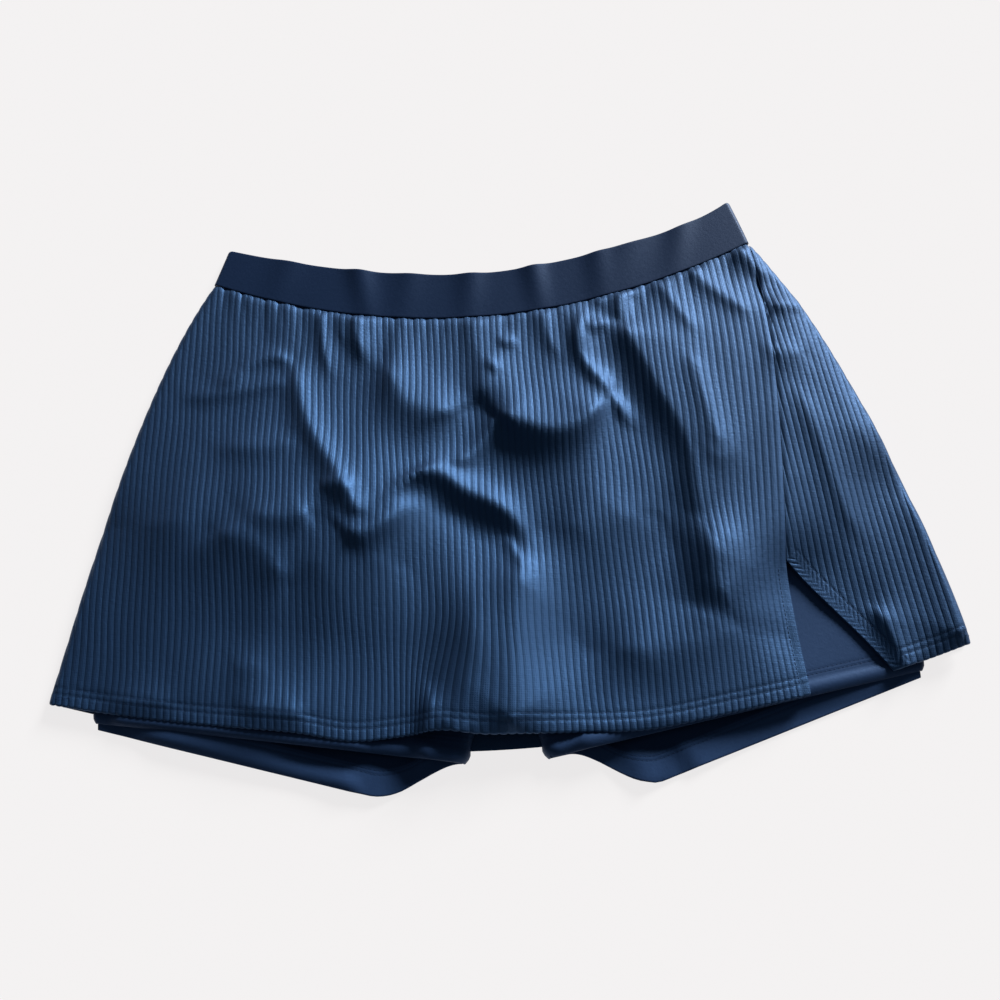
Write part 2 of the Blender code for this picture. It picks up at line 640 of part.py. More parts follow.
def waistband():
    """A flattened tube of wide elastic. Its front undulates, and its back lies on the floor."""
    radius = BAND_HEIGHT / 2
    end_z = radius + radius * np.sin(BAND_END_TURNS)
    rows = []
    for share in np.linspace(0, 1, BAND_ROWS):
        half = WAIST_HALF + (SEAM_HALF - WAIST_HALF) * share + BAND_WALL / 2
        front_x = np.linspace(-half + radius, half - radius, BAND_FRONT_COLUMNS)
        end_x = half - radius + radius * np.cos(BAND_END_TURNS)
        back_x = np.linspace(half - radius, -half + radius, BAND_BACK_COLUMNS)
        x = np.concatenate([front_x, end_x, back_x, -end_x[::-1]])
        front_z = BAND_HEIGHT + band_wave(front_x)
        z = np.concatenate([front_z, end_z, np.zeros_like(back_x), end_z[::-1]])
        reach = np.clip(x, -half + BAND_WALL / 2, half - BAND_WALL / 2)
        y = band_top_y(reach) + (seam_y(reach) - band_top_y(reach)) * share
        rows.append(np.stack([x, y, z], axis=1))
    points = np.array(rows).transpose(1, 0, 2)
    return plain_wall("waistband", points, BAND_WALL, -1, NAVY_BAND, closed=True)


for old in list(bpy.data.objects):
    bpy.data.objects.remove(old)
waistband()
skirt_front()
skirt_side()
skirt_back()
for leg_side in LEG_BACKS:
    shorts_front_leg(leg_side)
    shorts_back_leg(leg_side)
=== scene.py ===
"""A navy tennis skort laid flat on a pale floor: rib-knit skirt, jersey shorts, elastic waistband."""

import bmesh
import bpy
import numpy as np
from mathutils import Matrix


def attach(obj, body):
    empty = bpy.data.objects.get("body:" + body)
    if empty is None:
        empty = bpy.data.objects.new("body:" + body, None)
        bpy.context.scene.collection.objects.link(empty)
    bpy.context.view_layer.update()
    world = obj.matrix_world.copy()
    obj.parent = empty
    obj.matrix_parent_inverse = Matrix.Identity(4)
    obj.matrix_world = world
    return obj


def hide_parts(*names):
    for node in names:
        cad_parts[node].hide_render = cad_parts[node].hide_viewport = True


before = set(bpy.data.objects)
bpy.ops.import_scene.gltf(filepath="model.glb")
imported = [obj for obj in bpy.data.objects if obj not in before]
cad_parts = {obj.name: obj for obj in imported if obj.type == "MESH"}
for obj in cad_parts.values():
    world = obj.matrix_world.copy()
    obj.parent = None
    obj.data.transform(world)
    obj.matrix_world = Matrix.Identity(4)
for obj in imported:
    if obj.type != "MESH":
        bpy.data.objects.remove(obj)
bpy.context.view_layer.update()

# ==== Skirt back ====
# One flared panel of navy rib knit, laid with its face on the floor. It is sewn to the front panels
# along both sides, and its turned hem hangs a centimetre lower than theirs.
SEAM_HALF = 0.2310  # half the flat width at the waist seam
HEM_HALF = 0.3465  # half the sweep at the hem
HIP_CURVE, HIP_SKEW, HIP_EASE = 0.0150, 0.6, 0.03  # how the side bows out over the hip
LOW_BOW = 0.0035  # the right side is pulled out this much more, low down
SEAM_Y, SEAM_RISE = 0.1460, 0.0515  # the waist seam dips at the centre front
HEM_Y, HEM_LOW_X, HEM_RISE = -0.2037, 0.0500, 0.0460  # the front's hem is lowest right of the middle
BACK_HEM_Y, BACK_HEM_RISE, BACK_HEM_POWER = -0.2132, 0.0555, 1.9
SEAM_GAP = 0.0003  # between neighbouring panels
EDGE_CLEAR = 0.0006  # a lower layer's edge keeps this far in
CLOTH = 0.0012  # thickness of the rib knit between its ribs
RIB_PITCH = 0.0053
RIB_RISE = 0.00041
RIB_MARKS = (0.0, 0.10, 0.27, 0.50, 0.73, 0.90)  # a rib's mesh columns, close at its groove
RIB_SHOULDER = 2.7  # a high power gives wide round ribs and narrow grooves
HEM_DEPTH, HEM_STEP = 0.022, 1.2  # depth of the turned hem, which thins out up to this share of it
HEM_EXTRA = 0.0006  # how much thicker the cloth is there
END_ROUNDS = 8  # a leaning column's ends depend on its X, and its X on them


def smooth_step(low, high, value):
    """From 0 at low to 1 at high. Low may be the larger."""
    share = np.clip((value - low) / (high - low), 0, 1)
    return share * share * (3 - 2 * share)


def seam_y(x):
    return SEAM_Y + SEAM_RISE * (x / SEAM_HALF) ** 2


def hem_y(x):
    away = x - HEM_LOW_X
    return HEM_Y + HEM_RISE * (away / (HEM_HALF + HEM_LOW_X * np.where(away > 0, -1, 1))) ** 2


def back_hem_y(x):
    return BACK_HEM_Y + BACK_HEM_RISE * np.abs(x / HEM_HALF) ** BACK_HEM_POWER


SIDE_TOP_Y = float(seam_y(SEAM_HALF))
SIDE_FOOT_Y = float(hem_y(HEM_HALF))
SIDE_YS = np.linspace(SIDE_TOP_Y, SIDE_FOOT_Y, 400)


def down_side(y):
    return np.clip((SIDE_TOP_Y - y) / (SIDE_TOP_Y - SIDE_FOOT_Y), 0, 1)


def hip_bow(t):
    start = HIP_EASE**HIP_SKEW
    end = (1 + HIP_EASE) ** HIP_SKEW
    return np.sin(np.pi * ((t + HIP_EASE) ** HIP_SKEW - start) / (end - start))


def side_x(y, right=False):
    t = down_side(y)
    pulled = LOW_BOW * np.sin(np.pi * t**2) * right
    return SEAM_HALF + (HEM_HALF - SEAM_HALF) * t + HIP_CURVE * hip_bow(t) + pulled


def rib_places(first, last, marks=RIB_MARKS):
    """Rib numbers of a panel's mesh columns."""
    places = np.arange(first, last)[:, None] + np.array(marks)
    return np.append(places.ravel(), last)


def rib_rise(place):
    """0 in a groove to 1 on a rib's round crest."""
    return 1 - np.abs(2 * (place % 1) - 1) ** RIB_SHOULDER


def fill_rows(upper, lower, body):
    """The rows near both ends of some columns, with a number of even ones between them."""
    shares = np.linspace(0, 1, body + 2)[1:-1]
    middle = upper[:, -1:] + (lower[:, :1] - upper[:, -1:]) * shares
    return np.concatenate([upper, middle, lower], axis=1)


def hang_columns(places, column_x, top_y, foot_y, head, body, tail):
    """Plan positions of a panel's columns, with rows at set depths from both ends and even ones between.

    The third result is each point's height above the panel's foot."""
    top = np.full(len(places), SIDE_FOOT_Y)
    foot = np.full(len(places), HEM_Y)
    for _ in range(END_ROUNDS):
        top = top_y(places, column_x(places, top))
        foot = foot_y(places, column_x(places, foot))
    squeeze = np.minimum(1, (top - foot) / (head[-1] + tail[-1]) / 2)[:, None]
    y = fill_rows(top[:, None] - head * squeeze, foot[:, None] + tail[::-1] * squeeze, body)
    return column_x(places[:, None], y), y, y - foot[:, None]


def grid_normals(points):
    """Upward unit normals of a grid of points, columns by rows."""
    normal = np.cross(np.gradient(points, axis=1), np.gradient(points, axis=0))
    return normal / np.linalg.norm(normal, axis=2, keepdims=True)


def kept_columns(count, step):
    """Those columns of a face that its coarser lining keeps."""
    return sorted({*range(0, count, step), count - 1})


def add_object(name, data):
    added = bpy.data.objects.new(name, data)
    bpy.context.scene.collection.objects.link(added)
    return added


def cloth_mesh(name, points, faces, knit):
    """A smooth mesh. knit holds, for each point, its place across and along the cloth and its rise."""
    mesh = bpy.data.meshes.new(name)
    mesh.from_pydata(points.tolist(), [], faces)
    mesh.attributes.new("knit", "FLOAT_VECTOR", "POINT").data.foreach_set("vector", knit.ravel())
    mesh.shade_smooth()
    return mesh


SHARP_ANGLE = np.radians(60)


def shell(name, face, lining, face_knit, lining_knit, hem=None, step=1, closed=False):
    """A closed piece of cloth from a grid for its face and a coarser one for its lining.

    hem holds more rows of the face, which curl round the hem."""
    if hem is not None:
        face = np.concatenate([face, hem], axis=1)
        hem_knit = np.repeat(face_knit[:, -1:], hem.shape[1], axis=1)
        face_knit = np.concatenate([face_knit, hem_knit], axis=1)
    columns, rows = face.shape[:2]
    lining_rows = lining.shape[1]
    kept = kept_columns(columns, step)
    outer = np.arange(columns * rows).reshape(columns, rows)
    inner = outer.size + np.arange(len(kept) * lining_rows).reshape(len(kept), lining_rows)
    faces = []
    for grid in (outer, inner):
        if closed:
            grid = np.concatenate([grid, grid[:1]])
        a, b = grid[:-1], grid[1:]
        faces += np.stack([a[:, :-1], a[:, 1:], b[:, 1:], b[:, :-1]], axis=2).reshape(-1, 4).tolist()
    spans = list(zip(kept[:-1], kept[1:], inner[:-1], inner[1:]))
    for j in (0, -1):
        for start, end, a, b in spans:
            faces.append([a[j], *outer[start : end + 1, j], b[j]])
        if closed:
            faces.append([inner[-1, j], outer[-1, j], outer[0, j], inner[0, j]])
    if not closed:
        for i in (0, -1):
            for j in range(lining_rows - 1):
                faces.append([outer[i, j], outer[i, j + 1], inner[i, j + 1], inner[i, j]])
            if rows > lining_rows:
                faces.append([inner[i, -1], *outer[i, lining_rows - 1 :]])
    points = np.concatenate([face.reshape(-1, 3), lining.reshape(-1, 3)])
    knit = np.concatenate([face_knit.reshape(-1, 3), lining_knit.reshape(-1, 3)])
    mesh = cloth_mesh(name, points, faces, knit)
    bm = bmesh.new()
    bm.from_mesh(mesh)
    bmesh.ops.recalc_face_normals(bm, faces=bm.faces)
    bm.to_mesh(mesh)
    bm.free()
    mesh.set_sharp_from_angle(angle=SHARP_ANGLE)
    return add_object(name, mesh)


CURL_TURNS = np.radians((50, 15, -20, -55))  # rows round a turned hem, from its face to its lining


def curl(middle, normal, radius):
    """Rows that carry a face round its hem, as a half circle about the middle of the cloth."""
    end = middle[:, -1:]
    out = end - middle[:, -2:-1]
    out = out / np.linalg.norm(out, axis=2, keepdims=True)
    turns = CURL_TURNS[None, :, None]
    return end + radius[:, None, None] * (normal[:, -1:] * np.sin(turns) + out * np.cos(turns))


class Shade:
    """A socket of a material's nodes. Python's operators on it add Math nodes."""

    def __init__(self, tree, socket=None):
        self.tree = tree
        self.socket = socket

    def node(self, kind, settings=(), sockets=(), output=0):
        """Adds a node: its settings first, and then the values or links of its sockets."""
        made = self.tree.nodes.new(kind)
        for name, value in dict(settings).items():
            setattr(made, name, value)
        for name, value in dict(sockets).items():
            if isinstance(value, Shade):
                self.tree.links.new(value.socket, made.inputs[name])
            else:
                made.inputs[name].default_value = value
        return Shade(self.tree, made.outputs[output] if made.outputs else None)

    def math(self, operation, *values):
        return self.node("ShaderNodeMath", {"operation": operation}, dict(enumerate(values)))

    def __add__(self, other):
        return self.math("ADD", self, other)

    __radd__ = __add__

    def __sub__(self, other):
        return self.math("SUBTRACT", self, other)

    def __rsub__(self, other):
        return self.math("SUBTRACT", other, self)

    def __mul__(self, other):
        return self.math("MULTIPLY", self, other)

    __rmul__ = __mul__

    def mix(self, start, end):
        """From one colour to another, by this value."""
        return self.node("ShaderNodeMix", {"data_type": "RGBA"}, {0: self, 6: start, 7: end}, output=2)


def knit_cloth(name, deep, pale, wale, course, look):
    """Knitted cloth: columns of V stitches, a little grain, and mottling a few centimetres wide.

    deep is its colour in the grooves between ribs and pale the one on their crests; the grooves' darker
    colour is painted shade."""
    material = bpy.data.materials.new(name)
    material.use_nodes = True
    material.node_tree.nodes.clear()
    shade = Shade(material.node_tree)
    place = shade.node("ShaderNodeAttribute", {"attribute_name": "knit"}, output=1)
    across, along, rise = (
        shade.node("ShaderNodeSeparateXYZ", {}, {0: place}, output=axis) for axis in range(3)
    )
    spot = shade.node("ShaderNodeTexCoord", output=3)
    leg = (across * (1 / wale)).math("PINGPONG", across * (1 / wale), 0.5) * 2
    loop = shade.math("SINE", (along * (1 / course) + leg * 0.5) * (2 * np.pi)) * 0.5 + 0.5
    noise = {"Vector": spot, "Roughness": 0.6}
    grain = shade.node("ShaderNodeTexNoise", {}, {**noise, "Scale": 620.0, "Detail": 3.0})
    mottle = shade.node("ShaderNodeTexNoise", {}, {**noise, "Scale": 24.0, "Detail": 2.0})
    fleck = shade.node("ShaderNodeTexNoise", {}, {**noise, "Scale": 290.0, "Detail": 1.0})
    stitch = leg * 0.5 + loop * 0.5
    # Painted shade: where the knit's rise is low the colour goes towards deep, as in the grooves between
    # ribs; grain and mottle are the cloth's own uneven tone.
    tone = rise * (1 - look["grain"] - look["mottle"]) + grain * look["grain"] + mottle * look["mottle"]
    height = stitch * 0.4 + grain * 0.5 + fleck * look["fleck"]
    bump = shade.node(
        "ShaderNodeBump", {}, {"Strength": 1.0, "Distance": look["relief"], "Height": height}
    )
    shader = shade.node(
        "ShaderNodeBsdfPrincipled",
        {},
        {
            "Base Color": tone.mix((*deep, 1), (*pale, 1)),
            "Roughness": look["roughness"] + (grain - 0.5) * 0.24,
            "Specular IOR Level": look["specular"],
            "Specular Tint": (0.12, 0.325, 0.73, 1),
            "IOR": 1.75,
            "Sheen Weight": look["sheen"],
            "Sheen Roughness": 0.40,
            "Sheen Tint": (0.26, 0.52, 1.0, 1),
            "Normal": bump,
        },
    )
    shade.node("ShaderNodeOutputMaterial", {}, {"Surface": shader})
    return material


RIB_LOOK = {"grain": 0.30, "mottle": 0.10, "relief": 0.00028, "fleck": 0.7}
RIB_LOOK |= {"roughness": 0.58, "specular": 1.0, "sheen": 0.05}
# Its deep colour, in the grooves between the ribs, is painted shade.
rib_knit = knit_cloth(
    "rib_knit", (0.0011, 0.0025, 0.0080), (0.0044, 0.0105, 0.0310), 0.00133, 0.0013, RIB_LOOK
)

BACK_INSET = CLOTH / 2 + 1.5 * EDGE_CLEAR
BACK_HEAD = 0.001 * np.array((0, 4, 9))  # depths of its mesh's first rows below its top
BACK_TAIL = 0.001 * np.array((0, 3, 7, 8.5, 10, 13, 18, 22, 26.5))  # heights of the last rows
BACK_ROWS = (BACK_HEAD, 44, BACK_TAIL)  # with so many even rows between

# Each fold's crest line in millimetres, from the waist to the hem or from left to right, then how far
# its gentle side (towards the waist or the right) and its steep side fall away, its height, and the
# lengths over which it rises at its two ends.
BACK_CREASES = {
    "from_waist": (((-150, 148), (-138, 90), (-112, 30), (-96, -24)), 26, 12, 0.9, 30, 50),
    "seat": (((-70, 22), (-18, 6), (44, 8), (96, 30)), 34, 20, 0.8, 50, 50),
    "right_drag": (((128, 150), (148, 84), (158, 10), (186, -70)), 30, 14, 0.9, 30, 60),
    "right_hip": (((196, 96), (232, 66), (262, 20)), 22, 12, 0.7, 24, 40),
    "left_fall": (((-250, 40), (-246, -30), (-262, -110)), 24, 18, 0.8, 50, 50),
    "centre_fall": (((10, -60), (2, -120), (-14, -186)), 16, 30, 0.8, 50, 20),
    "low_right": (((86, -96), (140, -118), (206, -124)), 24, 14, 0.7, 40, 50),
}
LINING_CREASE = 0.35  # the creases show less on the cloth's upper side, under the shorts
CREST_ROUND = 0.22  # how round a crest is, as a share of its narrower side
END_FAN = 0.8  # a fold's ends soften away from its crest
LINE_POINTS = 40


def smooth_line(points):
    """A smooth curve in metres through a few points in millimetres."""
    points = 0.001 * np.array(points, float)
    ends = np.vstack([2 * points[0] - points[1], points, 2 * points[-1] - points[-2]])
    t = np.linspace(0, len(points) - 1, LINE_POINTS)
    i = np.minimum(t.astype(int), len(points) - 2)
    f = (t - i)[:, None]
    a, b, c, d = ends[i], ends[i + 1], ends[i + 2], ends[i + 3]
    return b + 0.5 * f * (c - a + f * (2 * a - 5 * b + 4 * c - d + f * (3 * b - a - 3 * c + d)))


def fold_shape(x, y, crest, *sizes):
    """One fold's height. Its crest line is a curve above or below the straight line between its ends."""
    line = smooth_line(crest)
    gentle, steep, height, start, end = (0.001 * size for size in sizes)
    length = np.hypot(*(line[-1] - line[0]))
    way = (line[-1] - line[0]) / length
    line_along = (line - line[0]) @ way
    line_aside = (line - line[0]) @ (-way[1], way[0])
    along = (x - line[0, 0]) * way[0] + (y - line[0, 1]) * way[1]
    aside = (y - line[0, 1]) * way[0] - (x - line[0, 0]) * way[1]
    across = aside - np.interp(along, line_along, line_aside)
    rounding = CREST_ROUND * min(gentle, steep)
    fallen = (np.hypot(across, rounding) - rounding) / np.where(across > 0, gentle, steep)
    fan = END_FAN * np.abs(across)
    ends = smooth_step(-fan, start + fan, along) * smooth_step(-fan, end + fan, length - along)
    return height * ends * np.exp(-fallen * (1 + 0.5 * fallen))


def fold_heights(x, y, folds):
    """The sum of a table of folds."""
    return sum(fold_shape(x, y, *fold) for fold in folds.values())


def back_top_y(places, x):
    beside = np.where(
        x > 0,
        np.interp(x, side_x(SIDE_YS, right=True) - BACK_INSET, SIDE_YS),
        np.interp(-x, side_x(SIDE_YS) - BACK_INSET, SIDE_YS),
    )
    return np.minimum(seam_y(x) - 1.5 * SEAM_GAP, beside)


back_ribs = int(2 * (HEM_HALF - BACK_INSET) / RIB_PITCH)
back_places = rib_places(-back_ribs // 2, back_ribs // 2)
back_x, back_y, back_up = hang_columns(
    back_places,
    lambda k, y: k * RIB_PITCH + 0 * y,
    back_top_y,
    lambda k, x: back_hem_y(x) + CLOTH / 2,
    *BACK_ROWS,
)
back_rise = rib_rise(back_places)[:, None] + 0 * back_x
back_creased = fold_heights(back_x, back_y, BACK_CREASES)
back_face = np.stack([back_x, back_y, RIB_RISE * (1 - back_rise) + back_creased], axis=2)
back_turned = HEM_EXTRA * smooth_step(HEM_STEP, 1, back_up / HEM_DEPTH)
back_lining = np.stack([back_x, back_y, CLOTH + back_turned * 0.5 + back_creased * LINING_CREASE], axis=2)
back_kept = kept_columns(len(back_places), len(RIB_MARKS))
back_knit = np.stack([back_places[:, None] * RIB_PITCH + 0 * back_x, back_y, back_rise], axis=2)
skirt_back = shell(
    "skirt_back_cloth",
    back_face,
    back_lining[back_kept],
    back_knit,
    # the lining takes the deep colour all over: painted shade where it shows between the legs
    back_knit[back_kept] * (1, 1, 0),
    step=len(RIB_MARKS),
)
skirt_back.data.materials.append(rib_knit)
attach(skirt_back, "root")
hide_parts("skirt_back_panel")

# ==== Shorts backs ====
# Two halves of smooth navy jersey, joined at the centre seam. They lie on the skirt's back, and their
# cover-stitched hems droop on the floor beyond it, where their insides show.
JERSEY = 0.0010
LAYER_GAP = 0.0005  # between two layers of cloth
LAYER_2 = CLOTH + LAYER_GAP
SHORTS_WAIST_HALF, SHORTS_HEM_HALF, SHORTS_HIP_CURVE = 0.2260, 0.3100, 0.0120
SHORTS_HEM_OUTER_Y, SHORTS_HEM_SLOPE = -0.1737, 0.168
CROTCH_Y, LEG_INNER_X = -0.1447, 0.0300
# How far each leg's back droops below its front, and between which shares of the way in it fades.
LEG_BACKS = {"left": (0.026, 0.74, 1.00), "right": (0.0296, 0.70, 0.95)}
LEG_BACK_OUTER_DROOP = 0.004
LEG_PARTING = (-0.012, 0.010)  # the legs part over this stretch of the inner seam, below the crotch
FOOT_START, FOOT_END = 0.0018, 0.0140  # past the skirt's back, the legs come down to the floor
JERSEY_HEM, JERSEY_HEM_STEP = 0.0185, 1.1  # depth of a leg's turned hem, and where it thins out
JERSEY_HEM_EXTRA = 0.0007
JERSEY_HEM_RADIUS = (JERSEY + JERSEY_HEM_EXTRA) / 2
LEG_COLUMNS, LEG_CROWDING = 84, 0.143  # the columns crowd a little towards a leg's two edges
LEG_HEAD = np.array((0.0, 0.006))
LEG_BODY = 60  # even rows between the first and the last ones
LEG_TAIL = 0.001 * np.array(
    (0, 1, 3, 6, 9, 11, 12.4, 13.4, 14.2, 15, 15.7, 16.4, 17.2, 18, 19, 21, 24)
)
INNER_CURL = 0.0045  # the inner corner of a back hem is drawn up to the front's
INNER_CURL_START, INNER_CURL_DEPTH = 0.86, 0.035
HEM_TURNING = (1.02, 0.96)  # edge of the turned hem, which shows the jersey's face
INSIDE_PAINTED_SHADE_TONE, TURNED_HEM_PAINTED_LIGHT_TONE, BACK_STITCH_SHADE = 0.05, 1.0, 0.45  # how light the backs' insides look: painted shade on the insides and under the stitches, painted light on the turned hem, which shows the jersey's face
LEG_STITCHES = (0.0142, 0.0172)  # heights of the two stitch rows above a leg's hem
LEG_STITCH_PINCH, LEG_STITCH_HALF = 0.00016, 0.0008


def shorts_side_x(y):
    t = down_side(y)
    return SHORTS_WAIST_HALF + (SHORTS_HEM_HALF - SHORTS_WAIST_HALF) * t + SHORTS_HIP_CURVE * hip_bow(t)


def front_leg_hem_y(x):
    return SHORTS_HEM_OUTER_Y - SHORTS_HEM_SLOPE * (SHORTS_HEM_HALF - np.abs(x))


def leg_inner_x(y):
    depth = CROTCH_Y - front_leg_hem_y(LEG_INNER_X)
    return SEAM_GAP / 2 + LEG_INNER_X * np.clip((CROTCH_Y - y) / depth, 0, 1.2) ** 0.9


def across_leg(x):
    return np.clip((SHORTS_HEM_HALF - np.abs(x)) / (SHORTS_HEM_HALF - LEG_INNER_X), 0, 1)


def back_leg_hem_y(x, side):
    droop, fall_start, fall_end = LEG_BACKS[side]
    share = across_leg(x)
    drop = LEG_BACK_OUTER_DROOP + droop * share / fall_start
    return front_leg_hem_y(x) - drop * smooth_step(fall_end, fall_start, share)


def floor_height(x, y):
    return LAYER_2 * smooth_step(FOOT_END, FOOT_START, back_hem_y(x) - y)


def leg_grid(inner, outer, foot):
    """Plan positions of one leg, with columns close together at its two edges."""
    share = np.linspace(0, 1, LEG_COLUMNS)
    share = share - LEG_CROWDING * np.sin(2 * np.pi * share)
    y = np.zeros((LEG_COLUMNS, 1))
    for _ in range(END_ROUNDS):
        x = inner(y) + (outer(y) - inner(y)) * share[:, None]
        top = seam_y(x[:, :1]) - 2 * SEAM_GAP
        low = foot(x[:, -1:])
        y = fill_rows(top - LEG_HEAD, low + LEG_TAIL[::-1], LEG_BODY)
    x = inner(y) + (outer(y) - inner(y)) * share[:, None]
    return x, y, y - low


def bell(away, half):
    """1 in the middle, fading to 0 on both sides."""
    return np.exp(-((away / half) ** 2))


def press(up, rows, half):
    """1 under each row of stitches."""
    return sum(bell(up - row, half) for row in rows)


def leg_hem(up):
    """How far stitches press a leg's hem, and how much thicker its turning makes it."""
    turned = JERSEY_HEM_EXTRA * smooth_step(JERSEY_HEM_STEP, 1, up / JERSEY_HEM)
    return press(up, LEG_STITCHES, LEG_STITCH_HALF), turned


def leg_shell(name, side, x, y, low, face_offset, lining_offset, tone):
    """A leg's closed cloth from the plan grid and its lower face's height, mirrored for the left leg."""
    middle = np.stack([x, y, low], axis=2)
    normal = grid_normals(middle)
    face = middle + normal * face_offset[:, :, None]
    lining = middle + normal * lining_offset[:, :, None]
    centre = middle + normal * ((face_offset + lining_offset) / 2)[:, :, None]
    facing = np.sign(face_offset - lining_offset)[:, -1:, None]
    round_hem = curl(centre, normal * facing, np.full(len(x), JERSEY_HEM_RADIUS))
    knit = np.stack([x, y, tone], axis=2)
    if side == "left":
        face, lining, round_hem = (grid[::-1] * (-1, 1, 1) for grid in (face, lining, round_hem))
        knit = knit[::-1]
    return shell(name, face, lining, knit, knit, round_hem), face, lining


JERSEY_LOOK = {"grain": 0.28, "mottle": 0.14, "relief": 0.00010, "fleck": 0.8}
JERSEY_LOOK |= {"roughness": 0.52, "specular": 0.20, "sheen": 0.08}
# Painted shade and light: its deep colour paints shade on the shorts backs' insides, and its pale one
# paints light on their turned hems.
jersey_inside_painted_shade_and_light = knit_cloth(
    "jersey_inside_painted_shade_and_light", (0.0034, 0.0084, 0.0245), (0.0195, 0.0430, 0.1080), 0.0008, 0.0009, JERSEY_LOOK
)
jersey = knit_cloth("jersey", (0.0066, 0.0165, 0.046), (0.021, 0.044, 0.107), 0.0008, 0.0009, JERSEY_LOOK)

# The left leg is built as the right one's mirror image, and so are its folds.
BACK_LEG_FOLDS = {
    "left": {
        "outer": (((98, -203), (98, -222), (100, -250)), 40, 18, 3.4, 8, 4),
        "inner": (((58, -205), (63, -222), (67, -242)), 5, 12, 2.6, 8, 4),
        "hem_roll": (
            ((102, -234), (150, -220), (200, -205.5), (250, -191), (290, -179.5)),
            13, 9, 4.2, 16, 40,
        ),
        "under_hem": (((150, -197.5), (200, -189), (250, -181), (302, -172)), 30, 22, 4.4, 20, 100),
    },
    "right": {
        "inner": (((86, -210), (95, -226), (103, -246)), 26, 18, 4.2, 8, 4),
        "outer": (((122, -203), (131, -222), (143, -250)), 44, 5, 3.0, 8, 4),
    },
}


def shorts_back_leg(side):
    inset = 2 * JERSEY + EDGE_CLEAR

    def inner(y):
        return leg_inner_x(y) + (JERSEY + 2 * EDGE_CLEAR) * smooth_step(*LEG_PARTING, CROTCH_Y - y)

    x, y, up = leg_grid(inner, lambda y: shorts_side_x(y) - inset, lambda x: back_leg_hem_y(x, side))
    drawn_up = smooth_step(INNER_CURL_START, 1, across_leg(x)) * smooth_step(INNER_CURL_DEPTH, 0, up)
    low = floor_height(x, y) + INNER_CURL * drawn_up + fold_heights(x, y, BACK_LEG_FOLDS[side])
    pressed, turned = leg_hem(up)
    inside = JERSEY + turned - LEG_STITCH_PINCH * pressed
    shown = smooth_step(*HEM_TURNING, up / JERSEY_HEM)
    # Painted shade on the insides and the stitch rows, painted light on the turned hem.
    tone = INSIDE_PAINTED_SHADE_TONE + (TURNED_HEM_PAINTED_LIGHT_TONE - INSIDE_PAINTED_SHADE_TONE) * shown - BACK_STITCH_SHADE * pressed
    return leg_shell(f"shorts_back_{side}_leg", side, x, y, low, 0 * x, inside, tone)


STITCH_PITCH, STITCH_LENGTH, THREAD_RADIUS = 0.0034, 0.0027, 0.00021
FIRST_STITCH = 0.001  # a row's first stitch starts this far from its end
THREAD_RISE = 0.7  # threads are as light as cloth this far up a rib
STITCH_STATIONS = np.array((0.0, 0.2, 0.8, 1.0))
STITCH_SWELL = np.array((0.4, 1.0, 1.0, 0.4))
STITCH_SINK = np.array((0.0003, 0.0, 0.0, 0.0003))  # both ends dip into the cloth
THREAD_TURNS = np.radians((90, 18, -54, -126, 162))


def stitch_lines(grid, heights, tail, first=0, last=None):
    """Points and upward normals of a cloth grid along its rows at some heights above the hem."""
    normals = grid_normals(grid)
    rows = [-1 - int(np.argmin(np.abs(tail - height))) for height in heights]
    return [(grid[first:last, row], normals[first:last, row]) for row in rows]


def stitches(name, lines):
    """One short raised thread after another along each line."""
    parts = []
    for points, normals in lines:
        gone = np.append(0, np.cumsum(np.linalg.norm(np.diff(points, axis=0), axis=1)))
        starts = np.arange(FIRST_STITCH, gone[-1] - STITCH_LENGTH, STITCH_PITCH)
        at = starts[:, None] + STITCH_LENGTH * STITCH_STATIONS
        centre = np.stack([np.interp(at, gone, points[:, axis]) for axis in range(3)], axis=2)
        up = np.stack([np.interp(at, gone, normals[:, axis]) for axis in range(3)], axis=2)
        way = centre[:, -1:] - centre[:, :1]
        way = way / np.linalg.norm(way, axis=2, keepdims=True)
        across = np.cross(up, way)[:, :, None]
        ring = up[:, :, None] * np.sin(THREAD_TURNS)[:, None] + across * np.cos(THREAD_TURNS)[:, None]
        middle = (centre - up * STITCH_SINK[:, None])[:, :, None]
        parts.append(middle + ring * (THREAD_RADIUS * STITCH_SWELL)[:, None, None])
    threads = np.concatenate(parts)
    index = np.arange(threads.size // 3).reshape(threads.shape[:3])
    beside = np.roll(index, -1, axis=2)
    sides = np.stack([index[:, :-1], index[:, 1:], beside[:, 1:], beside[:, :-1]], axis=3).reshape(-1, 4)
    faces = sides.tolist() + index[:, 0].tolist() + index[:, -1, ::-1].tolist()
    points = threads.reshape(-1, 3)
    piece = add_object(name, cloth_mesh(name, points, faces, points * (1, 1, 0) + (0, 0, THREAD_RISE)))
    piece.data.materials.append(sewing_thread)
    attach(piece, "root")
    return piece


THREAD_LOOK = {**JERSEY_LOOK, "relief": 0.00005}
sewing_thread = knit_cloth(
    "sewing_thread", (0.004, 0.009, 0.026), (0.012, 0.026, 0.070), 0.0003, 0.0005, THREAD_LOOK
)

for leg_side in LEG_BACKS:
    leg, _, leg_inside = shorts_back_leg(leg_side)
    leg.data.materials.append(jersey_inside_painted_shade_and_light)
    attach(leg, "root")
    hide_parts(f"shorts_back_{leg_side}")
    leg_threads = stitches(
        f"shorts_back_{leg_side}_threads",
        stitch_lines(leg_inside, LEG_STITCHES, LEG_TAIL),
    )

